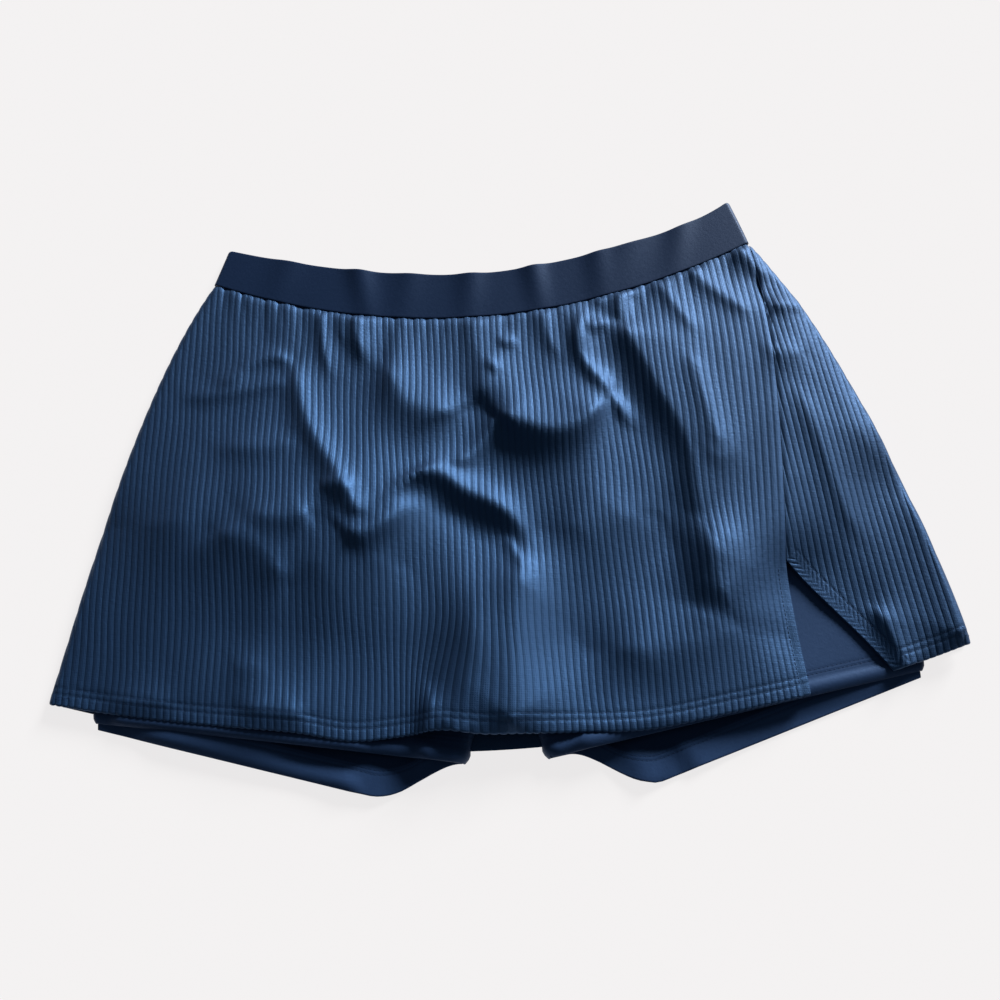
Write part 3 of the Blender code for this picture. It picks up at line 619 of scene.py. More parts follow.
# ==== Shorts fronts ====
# Two halves of the same jersey over the backs. Each rolls down to its back at the side and along the
# inner leg, and stands off it at the hem, so that the leg opening gapes.
LAYER_3 = LAYER_2 + JERSEY + LAYER_GAP
LEG_GAPE, LEG_GAPE_DEPTH, LEG_GAPE_ACROSS = 0.0060, 0.085, (0.0, 0.46)
LEG_SIDE_ROLL, LEG_INNER_ROLL = 0.0022, 0.0100
FRONT_PARTING, FRONT_ROLL_PARTING = (-0.020, 0.012), (0.002, 0.028)  # below the crotch
HEM_PUFF, HEM_PUFF_DEPTH = 0.0019, 0.0105  # a leg's turned hem is rounded below its stitches
FRONT_TONE, FRONT_STITCH_SHADE = 0.55, 0.4
FRONT_LEG_FOLDS = {
    "left": {
        "corner": (((60, -200), (58, -212), (54, -228)), 7, 26, 4.2, 7, 1),
        "hem_roll": (((96, -207), (160, -197), (200, -189), (250, -180.5), (298, -172)), 6, 6, 2.6, 12, 10),
    },
    "right": {"corner": (((56, -200), (60, -215), (64, -230)), 60, 10, 3.0, 7, 1)},
}


def round_over(distance, radius):
    """The height of a rounded edge: 0 at the edge, and 1 from a radius inside it."""
    return np.sqrt(1 - (1 - np.clip(distance / radius, 0, 1)) ** 2)


def leg_opening(x, y):
    open_across = smooth_step(*LEG_GAPE_ACROSS, across_leg(x))
    return LEG_GAPE * open_across * smooth_step(LEG_GAPE_DEPTH, 0, y - front_leg_hem_y(x))


def shorts_front_leg(side):
    def inner(y):
        return leg_inner_x(y) + JERSEY * smooth_step(*FRONT_PARTING, CROTCH_Y - y)

    x, y, up = leg_grid(inner, lambda y: shorts_side_x(y) - JERSEY, front_leg_hem_y)
    above = JERSEY + LAYER_GAP + leg_opening(x, y)
    outer_edge = round_over(shorts_side_x(y) - JERSEY - x, LEG_SIDE_ROLL)
    parted = smooth_step(*FRONT_ROLL_PARTING, CROTCH_Y - y)
    inner_edge = round_over(x - inner(y), LEG_INNER_ROLL)
    above = above * (1 - parted * (1 - inner_edge)) + fold_heights(x, y, FRONT_LEG_FOLDS[side])
    low = floor_height(x, y) + above * outer_edge
    pressed, turned = leg_hem(up)
    puffed = HEM_PUFF * np.sin(np.pi * np.clip(up / HEM_PUFF_DEPTH, 0, 1))
    outside = JERSEY + puffed - LEG_STITCH_PINCH * pressed
    tone = FRONT_TONE - FRONT_STITCH_SHADE * pressed
    return leg_shell(f"shorts_front_{side}_leg", side, x, y, low, outside, -turned, tone)


for leg_side in LEG_BACKS:
    leg, leg_outside, _ = shorts_front_leg(leg_side)
    leg.data.materials.append(jersey)
    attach(leg, "root")
    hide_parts(f"shorts_front_{leg_side}")
    leg_threads = stitches(
        f"shorts_front_{leg_side}_threads",
        stitch_lines(leg_outside, LEG_STITCHES, LEG_TAIL),
    )

# ==== Skirt front panel ====
# The main panel of rib knit, with its ribs lengthwise. It is gathered a little onto the waistband,
# pushed into soft folds by the shorts beneath, and turned up and cover-stitched at its hem.
EDGE_Z = 0.0006  # height of the cloth's middle at the side seams, to which the front rolls down
SIDE_ROLL, SIDE_SLANT = 0.0060, 0.95
SKIRT_BASE = LAYER_3 + JERSEY + LAYER_GAP + HEM_EXTRA + CLOTH / 2
MIDDLE_SAG, MIDDLE_SAG_HALF = 0.35, 0.022  # it sags between the legs
WAIST_SETTLE, WAVE_FADE = 0.007, 0.045  # below the waist seam, folds begin and the band's waves end
CORNER_GAP, CORNER_GAP_START, CORNER_TRIM = 0.0008, 0.2220, 0.0012  # its corners stay clear of others
PANEL_SEAM_X, PANEL_SEAM_OUT, PANEL_SEAM_IN = 0.2303, 0.060, 0.0185  # the side panel's seam bows out
SLIT_TOP_Y = -0.0852
SLIT_SWING, SLIT_SWING_EASE = 0.0145, 0.08  # below the slit's top the front's free edge swings outwards
SLIT_PLACES, SLIT_REACH, SLIT_SETTLE = ((0.235, -0.103), (0.254, -0.132), (0.273, -0.160)), 0.032, 0.88
SLIT_TURN, SLIT_STITCH = 0.0080, 0.0070  # depth of that edge's narrow turning, and its stitch row
SLIT_TURN_START, SLIT_TURN_FADE, SLIT_TURN_FLAT = 0.010, 0.85, 0.65
SLIT_ROW_TOP, SLIT_ROW_FOOT, SLIT_FOOT_X = 0.006, 0.008, 0.218  # the stitch row's ends
ROW_POINTS = 300
HEM_STITCHES = (0.0080, 0.0130)  # heights of the two stitch rows above the hem
STITCH_PINCH, STITCH_PINCH_HALF = 0.00022, 0.0009
HEM_RIB_PUFF, SCALLOP = 0.35, 0.0005  # below the stitches the ribs stand out, and end in scallops
HEM_PUFF_FADE = (1.2, 0.9)
HEM_RADIUS = (CLOTH + HEM_EXTRA) / 2
PRESS_RIBS, PRESS_SHADE = 0.45, 0.85  # stitches flatten the ribs and darken them with painted shade, by these shares
LINING_TONE = 0.4
SEAM_DIP, SEAM_DIP_HALF, SEAM_DIP_END = 0.0006, 0.0022, 0.004  # the seams lie a little deeper

# The front's folds, in the columns of BACK_CREASES. Each shows on both sides of the side panel's seam.
FOLDS = {
    "left_rise": (((-330, -20), (-220, -24), (-120, -22), (-20, -30)), 120, 135, 13, 90, 60),
    "right_rise": (((-40, -20), (60, 0), (160, -10), (300, -30)), 110, 100, 3.5, 90, 80),
    "centre_pouch": (
        ((3, 52), (14, 47), (28, 41), (42, 35), (56, 33), (70, 36), (82, 43), (92, 52), (106, 66)),
        50, 22, 13.5, 14, 26,
    ),
    "pouch_corner": (((-30, 8), (-18, 16), (-6, 28), (4, 46), (10, 66)), 12, 9, 4, 10, 22),
    "pouch_left_side": (((-6, 150), (-6, 120), (-3, 98), (-2, 72), (0, 56)), 26, 14, 3, 12, 20),
    "middle_tuck": (
        ((-84, -10), (-67, -2), (-50, 4), (-36, 0), (-22, -12),
         (-4, -22), (10, -32), (20, -44), (28, -61), (33, -84)),
        18, 13, 9.2, 20, 62,
    ),
    "left_pouch": (
        ((-122, -38), (-108, -45), (-94, -43), (-80, -35), (-70, -26), (-58, -12)),
        16, 13, 5.8, 12, 36,
    ),
    "left_drag_line": (
        ((-158, 122), (-155, 90), (-147, 58), (-137, 36), (-124, 13), (-113, -9), (-101, -34)),
        13, 11, 4.9, 30, 12,
    ),
    "drag_line_foot": (((-136, -2), (-122, -3), (-106, -10)), 9, 10, 3.6, 8, 8),
    "shelf": (((-86, 116), (-77, 90), (-66, 68), (-50, 59), (-28, 56), (-10, 62)), 34, 26, 8, 24, 20),
    "shelf_streak": (((-108, 160), (-106, 138), (-102, 118), (-95, 98)), 15, 8, 4.8, 10, 30),
    "left_gather": (((-137, 162), (-136, 140), (-132, 112), (-127, 90)), 8, 5, 2.6, 8, 30),
    "left_gather_2": (((-120, 160), (-119, 140), (-117, 124)), 7, 5, 1.6, 6, 16),
    "hip_arc": (((-226, 96), (-208, 103), (-196, 114), (-180, 119), (-160, 116)), 12, 7, 2.6, 16, 8),
    "hip_arc_low": (((-262, 90), (-230, 88), (-200, 90), (-162, 95)), 14, 8, 2.2, 30, 10),
    "left_soft_ridge": (((-232, 36), (-205, 38), (-175, 35), (-150, 40)), 18, 14, 2.6, 30, 16),
    "left_dimple": (((-206, -16), (-184, -23), (-164, -27), (-140, -27)), 30, 16, 5, 30, 8),
    "left_hollow": (((-226, -34), (-204, -38), (-184, -48), (-170, -64), (-158, -84)), 22, 26, 5, 20, 20),
    "pouch_dimple": (((10, 119), (30, 117)), 6, 5, 2.6, 7, 7),
    "pouch_side_dimple": (((0, 104), (13, 88)), 7, 5, 2.6, 8, 8),
    "pouch_gather": (((52, 147), (54, 122), (64, 92)), 8, 7, 1.8, 8, 24),
    "narrow_crease": (
        ((82, 146), (79, 118), (80, 100), (87, 84), (98, 68), (107, 50), (116, 28)),
        9, 7, 4.2, 24, 24,
    ),
    "crease_hook": (((86, 122), (96, 127), (109, 129)), 6, 6, 3.2, 6, 10),
    "right_drag_line": (
        ((112, 134), (121, 114), (131, 92), (141, 62), (151, 38),
         (159, 10), (160, -24), (162, -64), (170, -104), (188, -140)),
        185, 16, 9.2, 22, 170,
    ),
    "right_gather": (((118, 170), (117, 146), (112, 124)), 8, 8, 4.4, 1, 16),
    "right_streak": (((147, 170), (158, 146), (170, 122), (180, 104)), 11, 7, 2.2, 8, 26),
    "right_streak_2": (((176, 176), (192, 155), (214, 132), (226, 118)), 12, 8, 2.8, 8, 22),
    "right_streak_3": (((166, 98), (172, 62), (177, 30), (182, 2)), 11, 10, 2.4, 20, 14),
    "right_corner": (((216, 194), (230, 176), (244, 152)), 10, 9, 3.6, 8, 18),
    "right_hip_brow": (((236, 128), (250, 128), (266, 124)), 14, 7, 3, 8, 8),
    "right_hip_crease": (((222, 86), (240, 84), (262, 80)), 18, 20, 3.0, 14, 14),
    "right_shelf": (((160, 10), (182, 0), (206, 4)), 30, 15, 2.4, 18, 24),
    "right_shelf_2": (((158, -44), (172, -62), (192, -80)), 16, 11, 1.0, 16, 18),
    "right_low_shelf": (((164, -126), (188, -128), (214, -122)), 16, 14, 0.7, 20, 20),
    "hem_roll": (((62, -145), (110, -147), (150, -143), (185, -139), (218, -146)), 95, 38, 9, 44, 54),
    "hem_lift": (((36, -200), (90, -201), (156, -196)), 14, 8, 1.5, 30, 40),
    "flute_left": (
        ((-12, -50), (-16, -80), (-18, -110), (-20, -140), (-25, -165), (-31, -190), (-35, -212)),
        30, 30, 8, 96, 12,
    ),
    "flute_right": (((18, -56), (20, -75), (15, -100), (10, -150), (6, -212)), 36, 54, 14, 36, 20),
    "hem_flute": (((-52, -160), (-53, -180), (-57, -212)), 22, 9, 5, 24, 16),
    "left_hem_lift": (((-204, -170), (-172, -175), (-138, -182)), 26, 12, 4.2, 24, 20),
    "far_left_hem_lift": (((-310, -158), (-270, -162), (-238, -166)), 20, 10, 2.6, 30, 24),
    "side_crease": (((246, 62), (257, 14), (268, -40), (280, -84)), 14, 9, 2, 30, 30),
    "pouch_right_shade": (((88, 150), (83, 120), (83, 96)), 14, 38, 2.8, 16, 20),
    "tuck_streak": (((8, -50), (14, -62), (23, -82)), 7, 6, 2.2, 8, 12),
    "band_tuck": (((101, 160), (100, 144)), 5, 4, 2.2, 1, 7),
    "band_tuck_2": (((129, 170), (127, 150)), 6, 5, 2.6, 1, 9),
    "low_streak": (((162, -46), (167, -85), (171, -115), (178, -140)), 110, 32, 10.5, 34, 34),
    "belly_line": (((36, -52), (80, -44), (128, -44)), 60, 50, 5, 30, 30),
    "left_low_hollow": (((-208, -138), (-190, -142), (-172, -142)), 14, 12, 1.4, 12, 16),
    "streak_hollow": (((134, -40), (136, -78), (144, -108), (153, -130)), 26, 70, -4, 30, 16),
    "right_side_rise": (((300, 60), (315, -20), (330, -90), (338, -160)), 20, 90, 5, 60, 10),
    "right_upper_rise": (((232, 162), (258, 98), (287, 24), (306, -42)), 40, 110, 8.0, 52, 60),
    "left_belly": (((-170, -62), (-120, -66), (-66, -70)), 150, 105, 5, 36, 30),
}
# Crests of the shallow waves in the band's front: centre at its top, half width, height, and how far
# they lean over to the seam. They are lower there, where the skirt takes them up.
BAND_WAVES = {
    "far_left": (-0.166, 0.013, 0.0020, -0.012),
    "left": (-0.104, 0.011, 0.0030, 0.006),
    "left_middle": (-0.060, 0.013, 0.0020, -0.008),
    "middle": (-0.008, 0.012, 0.0028, -0.004),
    "right_middle": (0.046, 0.010, 0.0030, 0.004),
    "right": (0.102, 0.011, 0.0024, 0.000),
    "far_right": (0.128, 0.020, 0.0024, -0.014),
    "right_corner": (0.176, 0.012, 0.0020, -0.010),
}
BAND_WAVE_FALL = 0.72


def band_wave(x, share=1.0):
    """How high the band's waves stand, at a share of the way from its top to the seam."""
    total = np.zeros_like(x)
    for centre, half, height, lean in BAND_WAVES.values():
        total = total + height * bell(x - centre - lean * share, half)
    return total * (1 - BAND_WAVE_FALL * share)


GATHER_DEPTH = 0.00075
GATHER_PLACES = np.arange(-0.222, 0.222, 0.0125)
# Each gather's shift along the waist, half width, share of the depth, reach and lean.
GATHER_RANGES = ((-0.004, 0.004), (0.0022, 0.0045), (0.3, 1.5), (0.012, 0.040), (-0.12, 0.12))
gather_draws = np.random.default_rng(7)
GATHERS = np.array([gather_draws.uniform(*span, len(GATHER_PLACES)) for span in GATHER_RANGES])


def gathers(x, y):
    """Short puckers where the skirt is eased onto the band."""
    below = seam_y(x) - y
    total = np.zeros_like(x)
    for place, (shift, width, depth, reach, lean) in zip(GATHER_PLACES, GATHERS.T):
        spread = width * (1 + below / reach)
        total = total - depth * bell(x - place - shift - lean * below, spread) * bell(below, reach)
    return total * GATHER_DEPTH


RIPPLE_HEIGHT, RIPPLES_ALONG_X, RIPPLES_ALONG_Y = 0.00016, 22, 16  # at most so many in a metre
RIPPLES = np.random.default_rng(23).uniform(-1, 1, (14, 4))


def ripple(x, y):
    """Low uneven waves, a few centimetres long, as knit cloth lies."""
    total = np.zeros_like(x)
    for a, b, c, d in RIPPLES:
        wave = np.sin(2 * np.pi * (a * RIPPLES_ALONG_X * x + b * RIPPLES_ALONG_Y * y + c))
        total = total + wave * (0.5 + 0.5 * d)
    return total * RIPPLE_HEIGHT


def panel_seam_x(y):
    """The seam to the side panel, and below the slit's top the front's free edge."""
    t = (SIDE_TOP_Y - y) / (SIDE_TOP_Y - HEM_Y)
    free = np.clip((SLIT_TOP_Y - y) / (SLIT_TOP_Y - HEM_Y), 0, 1.1)
    swing = SLIT_SWING * free**2 / (free + SLIT_SWING_EASE)
    return PANEL_SEAM_X + PANEL_SEAM_OUT * t * (1 - t) ** 2 - PANEL_SEAM_IN * t + swing


def skirt_height(x, y):
    """Middle of the skirt front's cloth."""
    below = seam_y(x) - y
    top = SKIRT_BASE + leg_opening(x, y) * (1 - MIDDLE_SAG * bell(x, MIDDLE_SAG_HALF))
    settle = smooth_step(0, WAIST_SETTLE, below)
    folds = fold_heights(x, y, FOLDS)
    for slit_place_x, slit_place_y in SLIT_PLACES:  # the folds settle round the slit
        folds = folds * (1 - SLIT_SETTLE * bell(np.hypot(x - slit_place_x, y - slit_place_y), SLIT_REACH))
    top = top + (folds + ripple(x, y)) * settle + gathers(x, y)
    top = top + band_wave(x) * smooth_step(WAVE_FADE, 0, below)
    seamed = bell(x - panel_seam_x(y), SEAM_DIP_HALF) * (y > SLIT_TOP_Y - SEAM_DIP_END)
    top = top - SEAM_DIP * (bell(below, SEAM_DIP_HALF) + seamed)
    inside = (side_x(y, x > 0) - np.abs(x)) * SIDE_SLANT
    return EDGE_Z + (top - EDGE_Z) * round_over(inside, SIDE_ROLL)


def ribbed_panel(name, places, rise, x, y, up, pressed, lift=0.0):
    """A ribbed panel of the skirt's front, its hem curled under, and the grid of its face."""
    middle = np.stack([x, y, skirt_height(x, y) + lift], axis=2)
    normal = grid_normals(middle)
    puff = 1 + HEM_RIB_PUFF * smooth_step(*HEM_PUFF_FADE, up / HEM_STITCHES[0])
    turned = HEM_EXTRA * smooth_step(HEM_STEP, 1, up / HEM_DEPTH)
    ribs = RIB_RISE * rise * puff
    offset = CLOTH / 2 + ribs * (1 - PRESS_RIBS * pressed) - STITCH_PINCH * pressed
    face = middle + normal * offset[:, :, None]
    lining = middle - normal * (CLOTH / 2 + turned)[:, :, None]
    round_hem = curl(middle - normal * HEM_EXTRA / 2, normal, HEM_RADIUS + 0.5 * ribs[:, -1])
    across = places[:, None] * RIB_PITCH + 0 * x
    knit = np.stack([across, y, rise * (1 - PRESS_SHADE * pressed)], axis=2)
    step = len(RIB_MARKS)
    kept = kept_columns(len(places), step)
    lining_knit = knit[kept] * (1, 1, LINING_TONE)
    return shell(name, face, lining[kept], knit, lining_knit, round_hem, step), face


FRONT_HEAD = 0.001 * np.array((0, 0.4, 1.2, 2.6, 4.8, 8, 12, 16.5, 21))
FRONT_TAIL = 0.001 * np.array(
    (0, 1.2, 3, 5.4, 7.1, 8, 8.9, 10.5, 12.1, 13, 13.9, 16, 19, 22, 24, 26.5)
)
FRONT_ROWS = (FRONT_HEAD, 88, FRONT_TAIL)
SEAM_NOMINAL_X = float(panel_seam_x(0.0))
FOLLOW_WIDTH = 0.070  # the ribs this near the seam follow it
FLUTE_X, FLUTE_HALF, FLUTE_PULL = -0.036, 0.030, -0.014  # the flute draws its ribs over towards the hem
FLUTE_PULL_START, FLUTE_PULL_END = -0.105, -0.205
RIB_DRIFT, DRIFT_START = 0.0007, 0.03  # how far the ribs wander to the side, away from the side seam
DRIFTS_ALONG_X, DRIFTS_ALONG_Y, DRIFT_SPREAD = 11, 14, 2.6  # at most so many in a metre, and their sum
DRIFT_DRAWS = np.random.default_rng(41).uniform(-1, 1, (7, 3))

front_ribs = round((HEM_HALF - CORNER_TRIM + SEAM_NOMINAL_X) / RIB_PITCH)
front_pitch = (HEM_HALF - CORNER_TRIM + SEAM_NOMINAL_X) / front_ribs


def rib_drift(x, y):
    """Ribs are never quite straight: each wanders a little, much as its neighbours do."""
    total = np.zeros_like(x)
    for a, b, c in DRIFT_DRAWS:
        total = total + np.sin(2 * np.pi * (a * DRIFTS_ALONG_X * x + b * DRIFTS_ALONG_Y * y + c))
    return RIB_DRIFT / DRIFT_SPREAD * total


def front_column_x(place, y):
    x = SEAM_NOMINAL_X - (front_ribs - place) * front_pitch
    follow = smooth_step(SEAM_NOMINAL_X - FOLLOW_WIDTH, SEAM_NOMINAL_X, x)
    pulled = smooth_step(FLUTE_PULL_START, FLUTE_PULL_END, y)
    pulled = pulled * FLUTE_PULL * bell(x - FLUTE_X, FLUTE_HALF)
    free = smooth_step(0, DRIFT_START, x + HEM_HALF) * (1 - follow)
    drift = rib_drift(x + 0 * y, y + 0 * x) * free
    return x + (panel_seam_x(y) - SEAM_GAP / 2 - SEAM_NOMINAL_X) * follow + pulled + drift


def front_top_y(places, x):
    seam = seam_y(x) - SEAM_GAP - CORNER_GAP * smooth_step(CORNER_GAP_START, SEAM_HALF, np.abs(x))
    return np.where(x > -SEAM_HALF, seam, np.interp(-x, side_x(SIDE_YS), SIDE_YS - CORNER_GAP))


# The hem hangs in slow waves of its own: centre, half width and drop.
HEM_WAVES = {
    "left_drop": (-0.112, 0.030, 0.0050),
    "left_step": (-0.046, 0.020, -0.0032),
    "right_drop": (0.105, 0.045, 0.0036),
}


def front_foot_y(places, x):
    drop = sum(depth * bell(x - place, half) for place, half, depth in HEM_WAVES.values())
    return hem_y(x) + HEM_RADIUS - drop - SCALLOP * rib_rise(places)


front_places = rib_places(0, front_ribs)
front_x, front_y, front_up = hang_columns(
    front_places, front_column_x, front_top_y, front_foot_y, *FRONT_ROWS
)
from_edge = panel_seam_x(front_y) - front_x
below_slit = smooth_step(0, SLIT_TURN_START, SLIT_TOP_Y - front_y)
edge_turned = below_slit * smooth_step(SLIT_TURN, SLIT_TURN_FADE * SLIT_TURN, from_edge)
front_rise = rib_rise(front_places)[:, None] * (1 - SLIT_TURN_FLAT * edge_turned)
front_pressed = press(front_up, HEM_STITCHES, STITCH_PINCH_HALF)
edge_pressed = press(from_edge, (SLIT_STITCH,), STITCH_PINCH_HALF) * below_slit
skirt_front, front_face = ribbed_panel(
    "skirt_front_cloth",
    front_places,
    front_rise,
    front_x,
    front_y,
    front_up,
    np.maximum(front_pressed, edge_pressed),
)
skirt_front.data.materials.append(rib_knit)
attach(skirt_front, "root")
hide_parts("skirt_front_panel")


def on_skirt(x, y, lift, above, step=0.0001):
    """A line of points above the middle of the skirt front's cloth, and its upward normals."""
    z, east, north = (
        skirt_height(x + a, y + b) + lift(x + a, y + b) for a, b in ((0, 0), (step, 0), (0, step))
    )
    normal = np.stack([z - east, z - north, np.full_like(z, step)], axis=1)
    normal = normal / np.linalg.norm(normal, axis=1, keepdims=True)
    return np.stack([x, y, z], axis=1) + normal * above, normal


edge_row_y = np.linspace(SLIT_TOP_Y - SLIT_ROW_TOP, float(hem_y(SLIT_FOOT_X)) + SLIT_ROW_FOOT, ROW_POINTS)
edge_row_x = panel_seam_x(edge_row_y) - SLIT_STITCH
edge_row = on_skirt(edge_row_x, edge_row_y, lambda x, y: 0, CLOTH / 2 + 0.5 * RIB_RISE)
front_threads = stitches(
    "skirt_front_threads",
    stitch_lines(front_face, HEM_STITCHES, FRONT_TAIL, 2, -2) + [edge_row],
)

# ==== Skirt side panel ====
# A flared panel that is seamed to the front down to the slit. Its ribs lean outwards, so that the
# seam cuts across them, and its free corner is folded back and faced with a turned band.
FLAP_CORNER_X = 0.2870
FLAP_WAVE = 0.0006  # its slit edge is a little wavy
FLAP_LIFT, FLAP_LIFT_DEPTH, FLAP_LIFT_POWER = 0.0003, 0.034, 0.7  # it stands off along that edge
FACING_DEPTH, FACING_MIDDLE, FACING_STITCH = 0.0120, 0.0056, 0.0112
FACING_START, FACING_END, FACING_ROW = (-0.02, 0.04), (1.04, 0.94), (0.06, 0.93)
FACING_STITCH_PRESS = 0.5
HERRINGBONE_PITCH, HERRINGBONE_SLANT = 0.0046, 1.1
HEM_PRESS_START = (0.006, 0.014)  # the hem's stitch rows begin beside the facing
FLAP_MARKS = (0.0, 0.07, 0.14, 0.23, 0.33, 0.44, 0.56, 0.67, 0.77, 0.86, 0.93)
SIDE_TAIL = 0.001 * np.arange(28)
SIDE_ROWS = (FRONT_HEAD, 76, SIDE_TAIL)
RIB_LEAN = 0.085  # metres sideways for each metre down
RIB_FAN = 0.16  # the ribs are this much closer at the waist
SLIT_TOP_STEP = 0.03  # the first column stands this share of a rib in from the slit's top
EDGE_POINTS = 400
side_top_x = float(panel_seam_x(SIDE_TOP_Y))


def leaning_ribs(y):
    """X of the rib that starts at the panel's top corner, and the pitch from rib to rib."""
    pitch = RIB_PITCH * (1 - RIB_FAN * (1 - down_side(y)))
    return side_top_x + RIB_LEAN * (SIDE_TOP_Y - y), pitch


def side_column_x(place, y):
    first_x, pitch = leaning_ribs(y)
    return first_x + place * pitch


def place_at(x, y):
    """Rib number at a plan position."""
    first_x, pitch = leaning_ribs(y)
    return (x - first_x) / pitch


seam_ys = np.linspace(SIDE_TOP_Y - CORNER_GAP, SLIT_TOP_Y, EDGE_POINTS)
seam_places = place_at(panel_seam_x(seam_ys) + SEAM_GAP / 2, seam_ys)
side_ys = np.linspace(SIDE_TOP_Y - CORNER_GAP, SIDE_FOOT_Y, EDGE_POINTS)
side_places = place_at(side_x(side_ys, right=True), side_ys)
upper_places = np.concatenate([seam_places[::-1], side_places])
upper_ys = np.concatenate([seam_ys[::-1], side_ys])
order = np.argsort(upper_places)
slit_top = np.array((float(panel_seam_x(SLIT_TOP_Y)) + SEAM_GAP / 2, SLIT_TOP_Y))
slit_foot = np.array((FLAP_CORNER_X, float(hem_y(FLAP_CORNER_X)) + HEM_RADIUS))
slit_length = np.linalg.norm(slit_foot - slit_top)
slit_way = (slit_foot - slit_top) / slit_length
flap_way = np.array((-slit_way[1], slit_way[0]))  # from the slit edge into the flap


def slit_line(share, inside):
    """Plan positions at a share of the way down the slit edge, and so far in from it."""
    inwards = (inside - FLAP_WAVE * np.sin(2 * np.pi * share))[:, None]
    return (slit_top + share[:, None] * slit_length * slit_way + inwards * flap_way).T


slit_x, slit_y = slit_line(np.linspace(0, 1, EDGE_POINTS), 0.0)
flap_hem_x = np.linspace(FLAP_CORNER_X, HEM_HALF, EDGE_POINTS)[1:]
lower_y = np.concatenate([slit_y, hem_y(flap_hem_x) + HEM_RADIUS])
lower_places = place_at(np.concatenate([slit_x, flap_hem_x]), lower_y)
first_place = float(seam_places[-1])
last_place = float(place_at(HEM_HALF - CORNER_TRIM, SIDE_FOOT_Y))
side_marks = rib_places(int(np.floor(first_place)), int(np.ceil(last_place)), FLAP_MARKS)
side_marks = side_marks[(side_marks > first_place + 2 * SLIT_TOP_STEP) & (side_marks < last_place)]
side_marks = np.concatenate([[first_place + SLIT_TOP_STEP], side_marks, [last_place]])

FLAP_FOLDS = {
    "corner": (((279, -122), (287, -140), (293, -158), (297, -176)), 28, 8, 4.6, 16, 1),
    "edge": (((312, -22), (326, -75), (335, -120), (341, -168)), 12, 24, 4.0, 50, 1),
}


def flap_place(x, y):
    """Distance in from the flap's slit edge, and the share of the way down it."""
    share = ((x - slit_top[0]) * slit_way[0] + (y - slit_top[1]) * slit_way[1]) / slit_length
    inside = (x - slit_top[0]) * flap_way[0] + (y - slit_top[1]) * flap_way[1]
    return inside + FLAP_WAVE * np.sin(2 * np.pi * np.clip(share, 0, 1)), share


def flap_lift(x, y):
    """How far the flap stands off the surface that the skirt's front would have there."""
    inside, share = flap_place(x, y)
    along = np.sin(np.pi * np.clip(share, 0, 1)) ** FLAP_LIFT_POWER
    return FLAP_LIFT * along * bell(inside, FLAP_LIFT_DEPTH) + fold_heights(x, y, FLAP_FOLDS)


side_grid_x, side_grid_y, _ = hang_columns(
    side_marks,
    side_column_x,
    lambda k, x: np.interp(k, upper_places[order], upper_ys[order]),
    lambda k, x: np.interp(k, lower_places, lower_y),
    *SIDE_ROWS,
)
in_from_slit, down_slit = flap_place(side_grid_x, side_grid_y)
faced = smooth_step(*FACING_START, down_slit) * smooth_step(*FACING_END, in_from_slit / FACING_DEPTH)
chevron = down_slit * slit_length + HERRINGBONE_SLANT * np.abs(in_from_slit - FACING_MIDDLE)
herringbone = rib_rise(chevron / HERRINGBONE_PITCH)
side_rise = rib_rise(side_marks)[:, None] * (1 - faced) + herringbone * faced
from_hem = side_grid_y - hem_y(side_grid_x) - HEM_RADIUS
side_pressed = press(from_hem, HEM_STITCHES, STITCH_PINCH_HALF)
side_pressed = side_pressed * smooth_step(*HEM_PRESS_START, in_from_slit)
slit_pressed = press(in_from_slit, (FACING_STITCH,), STITCH_PINCH_HALF)
slit_pressed = slit_pressed * FACING_STITCH_PRESS * (down_slit > 0)
skirt_side, side_face = ribbed_panel(
    "skirt_side_cloth",
    side_marks,
    side_rise,
    side_grid_x,
    side_grid_y,
    from_hem,
    np.maximum(side_pressed, slit_pressed),
    flap_lift(side_grid_x, side_grid_y),
)
skirt_side.data.materials.append(rib_knit)
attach(skirt_side, "root")
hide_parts("skirt_side_panel")
facing_row_x, facing_row_y = slit_line(np.linspace(*FACING_ROW, ROW_POINTS), FACING_STITCH)
facing_row = on_skirt(facing_row_x, facing_row_y, flap_lift, CLOTH / 2 + 0.3 * RIB_RISE)
corner_place = place_at(FLAP_CORNER_X + HEM_PRESS_START[0], slit_foot[1])
corner_column = int(np.searchsorted(side_marks, corner_place))
side_threads = stitches(
    "skirt_side_threads",
    stitch_lines(side_face, HEM_STITCHES, SIDE_TAIL, corner_column, -2) + [facing_row],
)
SIDE_TOP_Y - float(hem_y(FLAP_CORNER_X))

# ==== Waistband ====
# A flattened tube of wide knitted elastic, smooth and darker than the skirt. Its front rides up in
# shallow waves, and the skirt and the shorts are sewn into its lower edge.
WAIST_HALF = 0.2190
BAND_TOP_Y, BAND_TOP_RISE, BAND_TOP_POWER = 0.1880, 0.0430, 1.7
BAND_RIGHT_LIFT, BAND_LIFT_POWER = 0.0096, 8
BAND_WALL, BAND_HEIGHT = 0.0018, 0.0066
BAND_EDGE = 0.0009  # radius of its rounded edges
BAND_CORNER, BAND_CORNER_SHARE = 0.0026, 0.07  # its top corners are worn round
BAND_FRONT_COLUMNS, BAND_BACK_COLUMNS, BAND_BODY = 241, 61, 22
BAND_END_TURNS = np.radians(np.linspace(81, -81, 13))
BAND_TONE = 0.5
BAND_LOOK = {"grain": 0.22, "mottle": 0.16, "relief": 0.00010, "fleck": 0.8}
BAND_LOOK |= {"roughness": 0.50, "specular": 0.20, "sheen": 0.06}
elastic = knit_cloth("elastic", (0.0030, 0.0080, 0.025), (0.0085, 0.0210, 0.060), 0.0011, 0.0010, BAND_LOOK)


